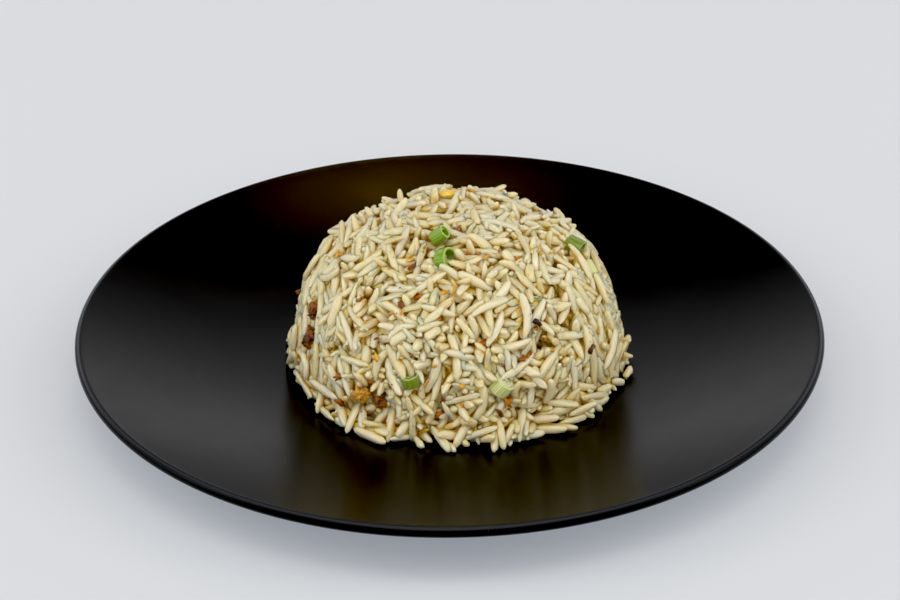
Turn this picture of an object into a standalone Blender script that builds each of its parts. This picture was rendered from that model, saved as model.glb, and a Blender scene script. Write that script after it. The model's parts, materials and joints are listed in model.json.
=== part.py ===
"""A moulded dome of fried rice on a black coupe plate.

The plate is one turned piece of stoneware. The dome is one solid out to its uneven outline, with
the ridges of its outer grains. The larger toppings are solids of their own, each seated in a pocket
of the dome: slices of spring onion, browned bits of shallot and a piece of egg.
Origin: centre of the plate's foot, on the surface it stands on. +Z is up and -Y is the front.
"""

from math import atan2, cos, degrees, hypot, pi, radians, sin, sqrt

import bmesh
import bpy
import numpy as np
from mathutils import Matrix, Vector, noise

MM = 0.001

# The plate
PLATE_RADIUS = 140.0 * MM
RIM_HEIGHT = 25.0 * MM
WELL_HEIGHT = 7.4 * MM            # top of the plate at its centre
FLAT_RADIUS = 30.0 * MM           # inside this radius the plate is level
WALL_RADIUS = 137.4 * MM          # here the upper surface meets the rounded lip
LIP_RADIUS = 2.0 * MM
BODY_THICKNESS = 5.0 * MM
FOOT_OUTER = 75.0 * MM
FOOT_INNER = 69.0 * MM
FOOT_RECESS = 2.6 * MM            # the underside inside the foot ring stands this high
FOOT_BEVEL = 0.7 * MM
UNDERSIDE_RADII = (116.0 * MM, 96.0 * MM, 78.0 * MM)
PLATE_SEGMENTS = 56
TOP_STEPS = 6
LIP_STEPS = 5

# The dome of rice
DOME_CENTRE = Vector((2.9, -1.4, 0.0)) * MM
DOME_BASE = 9.2 * MM              # level of the dome's foot above the table
DOME_RADIUS = 61.8 * MM
DOME_HEIGHT = 59.6 * MM
DOME_POWER = 2.5                  # 2 is an ellipsoid, more is closer to a straight-sided mould
SKIRT_SPREAD = 3.2 * MM           # how far the foot of the heap has slumped outwards
SKIRT_HEIGHT = 5.0 * MM
SUBDIVISIONS = 5
FOOT_POLAR = 136.0                # degrees from the pole at which the ball becomes the underside
UNDERSIDE_SHARE = 0.93            # the underside is this much narrower than the foot
FOOT_EDGE = 0.5 * MM              # height of the heap's lower edge over its underside
FOOT_RELIEF = 0.25                # share of the relief's depth at the foot
FOOT_FADE = 6.5 * MM              # and the rate at which it reaches its full depth above the foot
SWELL_LENGTH = 14.0 * MM          # size of the broad swells of the surface
SWELL_HEIGHT = 0.9 * MM

# The ridges that the outer grains make
GRAIN_COUNT = 950
GRAIN_RADIUS = 1.3 * MM
GRAIN_HALF_LENGTH = 4.6 * MM
GRAIN_LIFT = 1.1 * MM             # how unevenly the grains stand out
GRAIN_SEED = 7

GAP = 0.3 * MM                    # clearance between touching pieces
POCKET_MARGIN = 0.45 * MM         # a topping's pocket is this much wider than the topping
POCKET_SIDES = 10                 # corners of the pocket round a slice
POCKET_MOUTH = 4.0 * MM           # how far a pocket is drawn out past the topping
CRUMB_ROUGHNESS = 0.55            # how much a crumb's knobs swell it
CRUMB_KNOBS = 1.7                 # knobs across a crumb
CRUMB_SUBDIVISIONS = 2
ONION_SEGMENTS = 12
ONION_EDGE = 0.25 * MM            # softening of a slice's cut edges
COLLECTION = "fried_rice_plate"

# Slices of spring onion: place on the dome (degrees from the front towards +X, degrees above its
# foot), how far the middle lies under the dome's surface, the direction of the slice's bore,
# outer radius, length along the bore, wall, and how oval it is.
ONION_SLICES = {
    "spring_onion_1": dict(at=(-8.7, 65.1), sink=1.6, bore=(0.80, -0.40, 0.40), radius=4.9, length=3.8,
                           wall=1.2, oval=0.86),
    "spring_onion_2": dict(at=(-26.0, 76.5), sink=0.9, bore=(0.75, -0.13, 0.65), radius=2.9, length=5.4,
                           wall=0.9, oval=0.92),
    "spring_onion_3": dict(at=(89.0, 47.0), sink=0.9, bore=(0.80, -0.48, -0.24), radius=3.6, length=6.0,
                           wall=1.0, oval=0.80),
    "spring_onion_4": dict(at=(-17.0, 21.5), sink=2.3, bore=(-0.20, 0.03, 0.96), radius=4.3, length=3.8,
                           wall=1.1, oval=0.84),
    "spring_onion_5": dict(at=(15.4, 19.4), sink=1.9, bore=(0.59, -0.06, 0.80), radius=4.5, length=4.8,
                           wall=3.4, oval=0.90),
    "spring_onion_6": dict(at=(80.0, 40.0), sink=0.9, bore=(0.42, -0.62, -0.66), radius=2.6, length=5.0,
                           wall=1.0, oval=0.85),
}

# Browned bits and egg: place, depth, and half sizes along the slope, up the slope and out of it.
CRUMBS = {
    "browned_shallot_1": dict(at=(-70.0, 28.7), sink=1.0, half=(2.5, 2.8, 2.0), seed=3),
    "browned_shallot_2": dict(at=(-67.0, 20.6), sink=1.2, half=(2.8, 4.9, 2.1), seed=11),
    "browned_shallot_3": dict(at=(-27.2, 12.4), sink=1.3, half=(2.3, 3.0, 2.2), seed=19),
    "browned_shallot_4": dict(at=(-35.5, 12.8), sink=1.4, half=(3.1, 3.3, 2.0), seed=23),
    "egg_piece_1": dict(at=(-172.0, 70.0), sink=0.3, half=(3.6, 2.2, 1.7), seed=31),
}


def plate_top(radius):
    """Height of the plate's upper surface: level in the middle, then an even, growing rise."""
    if radius <= FLAT_RADIUS:
        return WELL_HEIGHT
    rise = RIM_HEIGHT - 0.1 * MM - WELL_HEIGHT
    return WELL_HEIGHT + rise * ((radius - FLAT_RADIUS) / (WALL_RADIUS - FLAT_RADIUS)) ** 2


def dome_radius(elevation):
    """Distance from the middle of the dome's foot to its outline, at an angle above the foot."""
    across = (abs(cos(elevation)) / DOME_RADIUS) ** DOME_POWER
    upward = (abs(sin(elevation)) / DOME_HEIGHT) ** DOME_POWER
    return (across + upward) ** (-1.0 / DOME_POWER)


def dome_point(azimuth, elevation):
    """A point of the dome's smooth outline; azimuth 0 is the front and grows towards +X."""
    distance = dome_radius(elevation)
    flat = distance * cos(elevation)
    level = distance * sin(elevation)
    slump = SKIRT_SPREAD * np.exp(-level / SKIRT_HEIGHT)
    reach = flat + slump * cos(elevation)
    return Vector((reach * sin(azimuth), -reach * cos(azimuth), level))


def dome_frame(azimuth, elevation):
    """The point, and the directions round the dome, up its slope and out of it."""
    step = radians(0.5)
    point = dome_point(azimuth, elevation)
    around = (dome_point(azimuth + step, elevation) - dome_point(azimuth - step, elevation)).normalized()
    upward = (dome_point(azimuth, elevation + step) - dome_point(azimuth, elevation - step)).normalized()
    outward = around.cross(upward).normalized()
    return point, around, upward, outward


def make_material(name, colour, roughness):
    material = bpy.data.materials.new(name)
    material.use_nodes = True
    shader = material.node_tree.nodes["Principled BSDF"]
    shader.inputs["Base Color"].default_value = (*colour, 1.0)
    shader.inputs["Roughness"].default_value = roughness
    shader.inputs["Metallic"].default_value = 0.0
    return material


def add_object(name, mesh, collection, material=None):
    thing = bpy.data.objects.new(name, mesh)
    collection.objects.link(thing)
    if material is not None:
        mesh.materials.append(material)
    return thing


def turned(name, profile, closed, segments, collection, material):
    """A profile in the XZ plane, turned about Z."""
    mesh = bpy.data.meshes.new(name)
    edges = [(i, i + 1) for i in range(len(profile) - 1)]
    if closed:
        edges.append((len(profile) - 1, 0))
    mesh.from_pydata([(x, 0.0, z) for x, z in profile], edges, [])
    thing = add_object(name, mesh, collection, material)
    screw = thing.modifiers.new("turn", "SCREW")
    screw.steps = segments
    screw.render_steps = segments
    screw.use_merge_vertices = True
    screw.merge_threshold = 0.00001
    screw.use_smooth_shade = True
    return thing


def arc(centre, radius, start, end, count):
    """Points of an arc in the XZ plane, from one angle to another in degrees."""
    points = []
    for i in range(count + 1):
        angle = radians(start + (end - start) * i / count)
        points.append((centre[0] + radius * cos(angle), centre[1] + radius * sin(angle)))
    return points


def build_plate(collection):
    glaze = make_material("black_glaze", (0.006, 0.006, 0.007), 0.25)
    slope = 2.0 * (RIM_HEIGHT - WELL_HEIGHT) / (WALL_RADIUS - FLAT_RADIUS)
    lean = degrees(atan2(slope, 1.0))
    lip_centre = (PLATE_RADIUS - LIP_RADIUS, RIM_HEIGHT - LIP_RADIUS)
    profile = [(0.0, plate_top(0.0))]
    for i in range(TOP_STEPS):
        radius = FLAT_RADIUS + (WALL_RADIUS - FLAT_RADIUS) * i / TOP_STEPS
        profile.append((radius, plate_top(radius)))
    profile += arc(lip_centre, LIP_RADIUS, 90.0 + lean, -90.0 + lean, LIP_STEPS)
    for radius in UNDERSIDE_RADII:
        profile.append((radius, plate_top(radius) - BODY_THICKNESS))
    profile.append((FOOT_OUTER, FOOT_BEVEL))
    profile.append((FOOT_OUTER - FOOT_BEVEL, 0.0))
    profile.append((FOOT_INNER + FOOT_BEVEL, 0.0))
    profile.append((FOOT_INNER, FOOT_BEVEL))
    profile.append((FOOT_INNER - FOOT_RECESS, FOOT_RECESS))
    profile.append((0.0, FOOT_RECESS))
    return turned("plate", profile, False, PLATE_SEGMENTS, collection, glaze)


def grain_ridges():
    """Middle, direction and lift of each outer grain, spread evenly over the dome."""
    random = np.random.default_rng(GRAIN_SEED)
    middles = []
    directions = []
    golden = pi * (3.0 - sqrt(5.0))
    for i in range(GRAIN_COUNT):
        height = (i + 0.5) / GRAIN_COUNT
        elevation = radians(90.0) - np.arccos(1.0 - height)
        point, around, upward, _ = dome_frame(i * golden, elevation)
        turn = random.uniform(0.0, pi)
        middles.append(point)
        directions.append(around * cos(turn) + upward * sin(turn))
    lifts = random.uniform(0.0, GRAIN_LIFT, GRAIN_COUNT)
    return np.array(middles), np.array(directions), lifts


def ridge_height(points, ridges):
    """How far the grains stand out of the dome at each point."""
    middles, directions, lifts = ridges
    heights = np.zeros(len(points))
    for i, point in enumerate(points):
        offset = np.array(point) - middles
        along = np.clip(np.sum(offset * directions, axis=1), -GRAIN_HALF_LENGTH, GRAIN_HALF_LENGTH)
        apart = np.linalg.norm(offset - along[:, None] * directions, axis=1)
        dome = np.sqrt(np.clip(GRAIN_RADIUS ** 2 - apart ** 2, 0.0, None))
        heights[i] = np.max(np.where(apart < GRAIN_RADIUS, dome + lifts, 0.0))
    return heights


def build_dome(collection):
    """The heap: a ball whose upper part becomes the dome and whose lower part lies on the plate."""
    rice = make_material("cooked_rice", (0.62, 0.55, 0.38), 0.45)
    mesh = bpy.data.meshes.new("rice_dome")
    shape = bmesh.new()
    bmesh.ops.create_icosphere(shape, subdivisions=SUBDIVISIONS, radius=1.0)
    shape.verts.ensure_lookup_table()
    points = []
    outwards = []
    for vertex in shape.verts:
        polar = degrees(vertex.co.angle(Vector((0.0, 0.0, 1.0))))
        azimuth = atan2(vertex.co.x, -vertex.co.y)
        if polar <= FOOT_POLAR:
            elevation = radians(90.0 * (1.0 - polar / FOOT_POLAR))
            point, _, _, outward = dome_frame(azimuth, elevation)
        else:
            share = (180.0 - polar) / (180.0 - FOOT_POLAR)
            point = dome_point(azimuth, 0.0) * (share * UNDERSIDE_SHARE)
            point.z = -DOME_HEIGHT
            outward = None
        points.append(point)
        outwards.append(outward)
    heights = ridge_height(points, grain_ridges())
    sunk = GRAIN_RADIUS + 0.5 * GRAIN_LIFT
    for vertex, point, outward, height in zip(shape.verts, points, outwards, heights):
        place = point + DOME_CENTRE
        place.z += DOME_BASE
        rest = GAP
        if outward is not None:
            swell = noise.noise(point / SWELL_LENGTH) * SWELL_HEIGHT
            fade = min(1.0, FOOT_RELIEF + point.z / FOOT_FADE)
            place += outward * ((height - sunk + swell) * fade)
            rest = GAP + FOOT_EDGE
        place.z = max(place.z, plate_top(hypot(place.x, place.y)) + rest)
        vertex.co = place
    shape.to_mesh(mesh)
    shape.free()
    mesh.shade_smooth()
    return add_object("rice_dome", mesh, collection, rice)


def seat(at, sink):
    """Where a topping's middle lies, and the directions of the dome there."""
    point, around, upward, outward = dome_frame(radians(at[0]), radians(at[1]))
    point = point - outward * (sink * MM) + DOME_CENTRE
    point.z += DOME_BASE
    return point, around, upward, outward


def cut_pocket(dome, name, corners, middle, outward, cutters):
    """Cut the room for a topping: the hull of its corners, drawn outwards so that it opens."""
    shape = bmesh.new()
    for corner in corners:
        shape.verts.new(middle + corner)
        if corner.dot(outward) > 0.0:
            shape.verts.new(middle + corner + outward * POCKET_MOUTH)
    hull = bmesh.ops.convex_hull(shape, input=shape.verts)
    inside = [item for item in hull["geom_interior"] if isinstance(item, bmesh.types.BMVert)]
    bmesh.ops.delete(shape, geom=inside, context="VERTS")
    bmesh.ops.recalc_face_normals(shape, faces=shape.faces)
    mesh = bpy.data.meshes.new(name + "_pocket")
    shape.to_mesh(mesh)
    shape.free()
    cutter = add_object(name + "_pocket", mesh, cutters)
    cutter.hide_render = True
    cutter.display_type = "WIRE"
    cut = dome.modifiers.new("pocket_" + name, "BOOLEAN")
    cut.operation = "DIFFERENCE"
    cut.solver = "EXACT"
    cut.object = cutter


def build_onion(name, spec, collection, cutters, dome, material):
    """A slice cut across a hollow leaf: a short oval tube, seated in a pocket of the dome."""
    outer = spec["radius"] * MM
    inner = outer - spec["wall"] * MM
    half = 0.5 * spec["length"] * MM
    edge = ONION_EDGE
    profile = [(outer - edge, half), (outer, half - edge), (outer, edge - half), (outer - edge, -half),
               (inner + edge, -half), (inner, edge - half), (inner, half - edge), (inner + edge, half)]
    slice_ring = turned(name, profile, True, ONION_SEGMENTS, collection, material)
    point, _, _, outward = seat(spec["at"], spec["sink"])
    turn = Vector(spec["bore"]).to_track_quat("Z", "Y").to_matrix().to_4x4()
    oval = Matrix.Diagonal((1.0, spec["oval"], 1.0, 1.0))
    slice_ring.matrix_world = Matrix.Translation(point) @ turn @ oval

    reach = (outer + POCKET_MARGIN) / cos(pi / POCKET_SIDES)
    depth = half + POCKET_MARGIN
    corners = []
    for i in range(POCKET_SIDES):
        angle = 2.0 * pi * i / POCKET_SIDES
        for end in (-depth, depth):
            corners.append(turn @ oval @ Vector((reach * cos(angle), reach * sin(angle), end)))
    cut_pocket(dome, name, corners, point, outward, cutters)


def lump(half, seed, extra, subdivisions):
    """A knobbly lump around the origin, as a bmesh; extra widens it all round."""
    shape = bmesh.new()
    bmesh.ops.create_icosphere(shape, subdivisions=subdivisions, radius=1.0)
    for vertex in shape.verts:
        knob = noise.noise(vertex.co * CRUMB_KNOBS + Vector((seed, 0.0, 0.0)))
        swell = 1.0 + CRUMB_ROUGHNESS * knob
        direction = vertex.co.normalized()
        size = Vector(half) * MM * swell
        vertex.co = Vector(d * s for d, s in zip(direction, size)) + direction * extra
    return shape


def build_crumb(name, spec, collection, cutters, dome, material):
    """A browned bit or a piece of egg, seated in a pocket of its own shape."""
    point, around, upward, outward = seat(spec["at"], spec["sink"])
    turn = Matrix((around, upward, outward)).transposed().to_4x4()
    place = Matrix.Translation(point) @ turn

    mesh = bpy.data.meshes.new(name)
    shape = lump(spec["half"], spec["seed"], 0.0, CRUMB_SUBDIVISIONS)
    bmesh.ops.transform(shape, matrix=place, verts=shape.verts)
    shape.to_mesh(mesh)
    shape.free()
    mesh.shade_smooth()
    add_object(name, mesh, collection, material)

    shape = lump(spec["half"], spec["seed"], POCKET_MARGIN, CRUMB_SUBDIVISIONS)
    corners = [turn @ vertex.co for vertex in shape.verts]
    shape.free()
    cut_pocket(dome, name, corners, point, outward, cutters)


def main():
    for thing in list(bpy.data.objects):
        bpy.data.objects.remove(thing, do_unlink=True)
    parts = bpy.data.collections.new(COLLECTION)
    cutters = bpy.data.collections.new("cutters")
    for collection in (parts, cutters):
        bpy.context.scene.collection.children.link(collection)

    build_plate(parts)
    dome = build_dome(parts)
    for name, spec in ONION_SLICES.items():
        pale = spec["wall"] > 2.0 or spec["radius"] < 2.8
        colour = (0.45, 0.55, 0.22) if pale else (0.16, 0.34, 0.02)
        build_onion(name, spec, parts, cutters, dome, make_material(name, colour, 0.35))
    for name, spec in CRUMBS.items():
        colour = (0.75, 0.50, 0.08) if name.startswith("egg") else (0.20, 0.05, 0.01)
        build_crumb(name, spec, parts, cutters, dome, make_material(name, colour, 0.40))


main()
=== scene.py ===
# %% [markdown]
# # A moulded dome of fried rice on a black coupe plate
#
# The plate, the heap and its larger toppings exist already as plain solids of the right size. This
# lesson gives them their looks: a glazed plate, some four thousand grains of long rice that were
# pressed into a bowl and turned out, and the cut onion, browned bits and pepper between them.

# %% Load the model that everything is built around
import json
from math import atan2, cos, degrees, pi, radians, sin, sqrt

import bmesh
import bpy
import numpy as np
from mathutils import Euler, Matrix, Vector, noise

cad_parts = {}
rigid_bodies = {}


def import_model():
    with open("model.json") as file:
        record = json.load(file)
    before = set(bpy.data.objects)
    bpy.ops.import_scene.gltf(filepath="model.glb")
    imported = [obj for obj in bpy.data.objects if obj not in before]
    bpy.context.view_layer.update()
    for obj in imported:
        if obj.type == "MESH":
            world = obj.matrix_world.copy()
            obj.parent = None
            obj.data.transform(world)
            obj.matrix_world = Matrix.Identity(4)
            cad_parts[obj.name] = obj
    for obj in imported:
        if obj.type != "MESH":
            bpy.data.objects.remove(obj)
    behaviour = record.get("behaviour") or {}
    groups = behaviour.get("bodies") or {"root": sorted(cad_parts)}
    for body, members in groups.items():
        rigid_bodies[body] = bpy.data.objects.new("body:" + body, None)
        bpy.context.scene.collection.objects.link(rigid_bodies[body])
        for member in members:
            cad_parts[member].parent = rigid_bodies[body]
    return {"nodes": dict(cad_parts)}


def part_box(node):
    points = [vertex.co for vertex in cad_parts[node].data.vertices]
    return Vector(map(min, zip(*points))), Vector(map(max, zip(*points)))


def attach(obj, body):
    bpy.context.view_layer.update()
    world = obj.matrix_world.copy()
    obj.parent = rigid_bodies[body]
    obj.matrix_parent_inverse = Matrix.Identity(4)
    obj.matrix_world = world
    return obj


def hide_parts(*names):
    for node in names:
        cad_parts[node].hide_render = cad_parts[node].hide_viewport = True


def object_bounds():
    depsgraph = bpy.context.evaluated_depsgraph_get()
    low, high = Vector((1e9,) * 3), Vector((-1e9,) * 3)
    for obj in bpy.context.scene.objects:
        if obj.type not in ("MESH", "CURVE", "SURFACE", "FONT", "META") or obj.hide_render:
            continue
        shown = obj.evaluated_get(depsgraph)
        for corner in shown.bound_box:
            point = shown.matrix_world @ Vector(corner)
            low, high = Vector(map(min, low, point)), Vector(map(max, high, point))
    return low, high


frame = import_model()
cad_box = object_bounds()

MM = 0.001
print("nodes:", ", ".join(sorted(frame["nodes"])))

# %% [markdown]
# Long scripts stay readable when the small jobs have names. A mesh can be made from arrays of
# points and faces. A material is a Principled BSDF with nodes before it, so one helper makes the
# material and another adds a node and fills in its sockets.

# %% Helpers for meshes and materials
def mesh_object(name, points, faces, smooth=True):
    mesh = bpy.data.meshes.new(name)
    mesh.from_pydata([tuple(p) for p in points], [], [tuple(f) for f in faces])
    if smooth:
        mesh.shade_smooth()
    thing = bpy.data.objects.new(name, mesh)
    bpy.context.scene.collection.objects.link(thing)
    return thing


def point_attribute(thing, name, values):
    """One number for each point of a mesh, which a material can read by name."""
    layer = thing.data.attributes.new(name, "FLOAT", "POINT")
    layer.data.foreach_set("value", np.asarray(values, dtype=np.float32))


def new_material(name, **sockets):
    material = bpy.data.materials.new(name)
    material.use_nodes = True
    shader = material.node_tree.nodes["Principled BSDF"]
    for socket, value in sockets.items():
        shader.inputs[socket.replace("_", " ")].default_value = value
    return material, material.node_tree, shader


def add_node(tree, kind, settings=None, **sockets):
    """A node; settings are its own options, and a socket gets a number, a colour or a link."""
    node = tree.nodes.new(kind)
    for option, value in (settings or {}).items():
        setattr(node, option, value)
    for socket, value in sockets.items():
        target = node.inputs[int(socket[1:])] if socket[0] == "i" and socket[1:].isdigit() else (
            node.inputs[socket.replace("_", " ")])
        if isinstance(value, bpy.types.Node):
            value = value.outputs[0]
        if isinstance(value, bpy.types.NodeSocket):
            tree.links.new(value, target)
        else:
            target.default_value = value
    return node


def ramp(tree, factor, *stops):
    """A colour ramp with stops of (position, colour)."""
    node = add_node(tree, "ShaderNodeValToRGB", Fac=factor)
    band = node.color_ramp.elements
    while len(band) < len(stops):
        band.new(0.5)
    for element, (position, colour) in zip(band, stops):
        element.position = position
        element.color = (*colour, 1.0)
    return node.outputs["Color"]


def mix_colour(tree, factor, first, second, blend="MIX"):
    node = tree.nodes.new("ShaderNodeMix")
    node.data_type = "RGBA"
    node.blend_type = blend
    for socket, value in zip((node.inputs[0], node.inputs[6], node.inputs[7]), (factor, first, second)):
        if isinstance(value, bpy.types.Node):
            value = value.outputs[0]
        if isinstance(value, bpy.types.NodeSocket):
            tree.links.new(value, socket)
        else:
            socket.default_value = (*value, 1.0) if isinstance(value, tuple) and len(value) == 3 else value
    return node.outputs[2]


def finish_piece(piece, slot, *replaced):
    """The piece rides with the plate and stands for the CAD nodes it replaces, which are hidden. slot is not used."""
    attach(piece, "root")
    if replaced:
        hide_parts(*replaced)


# %% [markdown]
# The camera stands as a food photographer's does, at a diner's height and some way back with a long
# lens, so that the plate's far edge stays wide. The camera's aim is a little behind the plate's
# middle, and it leans by half a degree, as a hand-set tripod does.

# %% Camera
CAMERA_DISTANCE = 0.996
CAMERA_PITCH = radians(29.54)
CAMERA_ROLL = radians(-0.58)
CAMERA_AIM = Vector((0.3, 51.6, 3.0)) * MM
LENS_MM = 100.0

camera_data = bpy.data.cameras.new("camera")
camera_data.lens = LENS_MM
camera_data.sensor_width = 36.0
camera_data.clip_start = 0.01
camera_data.clip_end = 50.0
camera = bpy.data.objects.new("camera", camera_data)
bpy.context.scene.collection.objects.link(camera)
line_of_sight = Vector((0.0, cos(CAMERA_PITCH), -sin(CAMERA_PITCH)))
camera.matrix_world = (Matrix.Translation(CAMERA_AIM - line_of_sight * CAMERA_DISTANCE)
                       @ line_of_sight.to_track_quat("-Z", "Y").to_matrix().to_4x4()
                       @ Matrix.Rotation(CAMERA_ROLL, 4, "Z"))
bpy.context.scene.camera = camera
print("camera stands", round(camera.location.z, 3), "m above the table")

# %% [markdown]
# The studio is a pale sweep of board under a large soft light. A black, glossy plate shows its
# surroundings more than itself, so the surroundings are part of its looks: a pale wall low down,
# which the near half of the plate mirrors, and darkness above it, which keeps the far half black.
# The world shader paints that wall by the height of the line of sight. What lights matt things is
# a separate, even glow, as from large tents of cloth, so shadows stay narrow. The board is lit from
# behind a little too, like a light table, which keeps the shadow under the plate pale.

# %% Floor, world and lights
FLOOR_HALF = 8.0
floor = mesh_object("floor", [(-FLOOR_HALF, -FLOOR_HALF, 0.0), (FLOOR_HALF, -FLOOR_HALF, 0.0),
                              (FLOOR_HALF, FLOOR_HALF, 0.0), (-FLOOR_HALF, FLOOR_HALF, 0.0)], [(0, 1, 2, 3)])
floor_paint, floor_tree, floor_shader = new_material("pale_board", Roughness=0.9, Emission_Strength=0.24)
floor_shader.inputs["Base Color"].default_value = (0.545, 0.545, 0.54, 1.0)
floor_shader.inputs["Emission Color"].default_value = (0.88, 0.97, 1.12, 1.0)
floor_shader.inputs["Specular IOR Level"].default_value = 0.0
floor.data.materials.append(floor_paint)

world = bpy.data.worlds.new("studio")
bpy.context.scene.world = world
world.use_nodes = True
sky = world.node_tree
background = sky.nodes["Background"]
direction = add_node(sky, "ShaderNodeTexCoord").outputs["Generated"]
parts = add_node(sky, "ShaderNodeSeparateXYZ", Vector=direction)
# The stops are sines of the height angle, from the horizon up.
wall = ramp(sky, parts.outputs["Z"],
            (0.00, (0.38, 0.38, 0.39)), (0.18, (0.41, 0.41, 0.42)), (0.225, (1.36, 1.36, 1.41)),
            (0.30, (1.88, 1.88, 1.94)), (0.40, (1.56, 1.56, 1.60)), (0.48, (0.88, 0.88, 0.90)),
            (0.58, (0.39, 0.39, 0.40)), (0.70, (0.0, 0.0, 0.0)))
front = add_node(sky, "ShaderNodeMapRange", Value=parts.outputs["Y"], From_Min=0.15, From_Max=-0.15)
ceiling = ramp(sky, parts.outputs["Z"], (0.0, (1.50, 1.505, 1.52)), (0.35, (1.12, 1.12, 1.115)), (0.9, (1.15, 1.14, 1.12)))
room = mix_colour(sky, front.outputs[0], wall, ceiling)
far_glow = ramp(sky, parts.outputs["Z"], (0.0, (0.06, 0.06, 0.06)), (0.4, (0.08, 0.08, 0.08)), (0.9, (0.20, 0.20, 0.20)))
soft_room = mix_colour(sky, front.outputs[0], far_glow, ceiling)
lights_up = add_node(sky, "ShaderNodeLightPath").outputs["Is Diffuse Ray"]
sky.links.new(mix_colour(sky, lights_up, room, soft_room), background.inputs["Color"])
background.inputs["Strength"].default_value = 1.0

# name: place, aim, width, height, power in watts, colour
LIGHTS = {
    "key_softbox": ((0.0, -1.2, 2.55), (0.0, 0.0, 0.0), 1.2, 1.0, 9.5, (1.0, 0.955, 0.88)),
    "left_softbox": ((-1.35, -0.25, 1.05), (0.0, 0.0, 0.03), 0.5, 0.9, 3.0, (0.93, 0.97, 1.0)),
    "right_softbox": ((1.35, -0.25, 1.05), (0.0, 0.0, 0.03), 0.5, 0.9, 3.0, (0.93, 0.97, 1.0)),
    "warm_lamp": ((0.036, 0.95, 1.27), (0.0, 0.0, 0.0), 0.09, 0.06, 0.66, (1.0, 0.58, 0.18)),
}
for name, (place, aim, width, height, power, colour) in LIGHTS.items():
    lamp = bpy.data.lights.new(name, "AREA")
    lamp.shape = "RECTANGLE"
    lamp.size = width
    lamp.size_y = height
    lamp.energy = power
    lamp.color = colour
    stand = bpy.data.objects.new(name, lamp)
    stand.location = place
    stand.rotation_euler = (Vector(aim) - Vector(place)).to_track_quat("-Z", "Y").to_euler()
    bpy.context.scene.collection.objects.link(stand)
view = bpy.context.scene.view_settings
view.view_transform = "Standard"
view.use_curve_mapping = True
view.curve_mapping.black_level = (0.011, 0.011, 0.011)
print("lights:", ", ".join(LIGHTS))

# %% [markdown]
# The plate is thrown or pressed stoneware: level in the middle, then an evenly growing rise to a
# rounded lip, with a foot ring below. Turning a profile about the middle makes the whole of it, so
# the profile is worth some care. It has close steps where the light shows its curve.

# %% The plate, turned from its profile
plate_low, plate_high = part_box("plate")
PLATE_RADIUS = 0.5 * (plate_high[0] - plate_low[0])
RIM_HEIGHT = plate_high[2]
WELL_HEIGHT = 7.4 * MM
FLAT_RADIUS = 30.0 * MM
LIP_RADIUS = 2.0 * MM
WALL_RADIUS = PLATE_RADIUS - 2.6 * MM
BODY_THICKNESS = 5.0 * MM
FOOT_OUTER = 75.0 * MM
FOOT_INNER = 69.0 * MM
FOOT_RECESS = 2.6 * MM
PLATE_SEGMENTS = 288


def plate_top(radius):
    """Height of the plate's upper surface at a distance from its middle; takes arrays too."""
    rise = RIM_HEIGHT - 0.1 * MM - WELL_HEIGHT
    share = np.maximum(np.asarray(radius) - FLAT_RADIUS, 0.0) / (WALL_RADIUS - FLAT_RADIUS)
    return WELL_HEIGHT + rise * share ** 2


def arc_points(middle, radius, start, end, steps):
    angles = np.radians(np.linspace(start, end, steps + 1))
    return [(middle[0] + radius * cos(a), middle[1] + radius * sin(a)) for a in angles]


def turned_mesh(name, profile, segments):
    """A profile of (radius, height) from the axis round to the axis, turned about Z."""
    inner = profile[1:-1]
    points = [(0.0, 0.0, profile[0][1])]
    for radius, height in inner:
        for i in range(segments):
            angle = 2.0 * pi * i / segments
            points.append((radius * cos(angle), radius * sin(angle), height))
    points.append((0.0, 0.0, profile[-1][1]))
    last = len(points) - 1
    faces = []
    for i in range(segments):
        j = (i + 1) % segments
        faces.append((0, 1 + i, 1 + j))
        for k in range(len(inner) - 1):
            low = 1 + k * segments
            high = low + segments
            faces.append((low + i, high + i, high + j, low + j))
        end = 1 + (len(inner) - 1) * segments
        faces.append((last, end + j, end + i))
    return mesh_object(name, points, faces)


lean = degrees(atan2(2.0 * (RIM_HEIGHT - WELL_HEIGHT), WALL_RADIUS - FLAT_RADIUS))
lip_middle = (PLATE_RADIUS - LIP_RADIUS, RIM_HEIGHT - LIP_RADIUS)
profile = [(0.0, WELL_HEIGHT)]
profile += [(r, float(plate_top(r))) for r in np.linspace(15.0 * MM, WALL_RADIUS - 1.2 * MM, 44)]
profile += arc_points(lip_middle, LIP_RADIUS, 90.0 + lean, -90.0 + lean, 16)
profile += [(r, float(plate_top(r)) - BODY_THICKNESS) for r in np.linspace(128.0 * MM, FOOT_OUTER + 3.4 * MM, 14)]
profile += arc_points((FOOT_OUTER + 2.2 * MM, 4.2 * MM), 1.6 * MM, 80.0, 180.0, 5)
profile += arc_points((FOOT_OUTER - 0.8 * MM, 0.8 * MM), 0.8 * MM, 0.0, -90.0, 4)
profile += arc_points((FOOT_INNER + 0.8 * MM, 0.8 * MM), 0.8 * MM, 270.0, 180.0, 4)
profile += arc_points((FOOT_INNER - 1.8 * MM, FOOT_RECESS - 1.8 * MM), 1.8 * MM, 0.0, 90.0, 5)
profile.append((30.0 * MM, FOOT_RECESS))
profile.append((0.0, FOOT_RECESS))
plate = turned_mesh("coupe_plate", profile, PLATE_SEGMENTS)
print("plate: radius", round(PLATE_RADIUS, 4), "m, rim", round(RIM_HEIGHT, 4), "m high")
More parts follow.
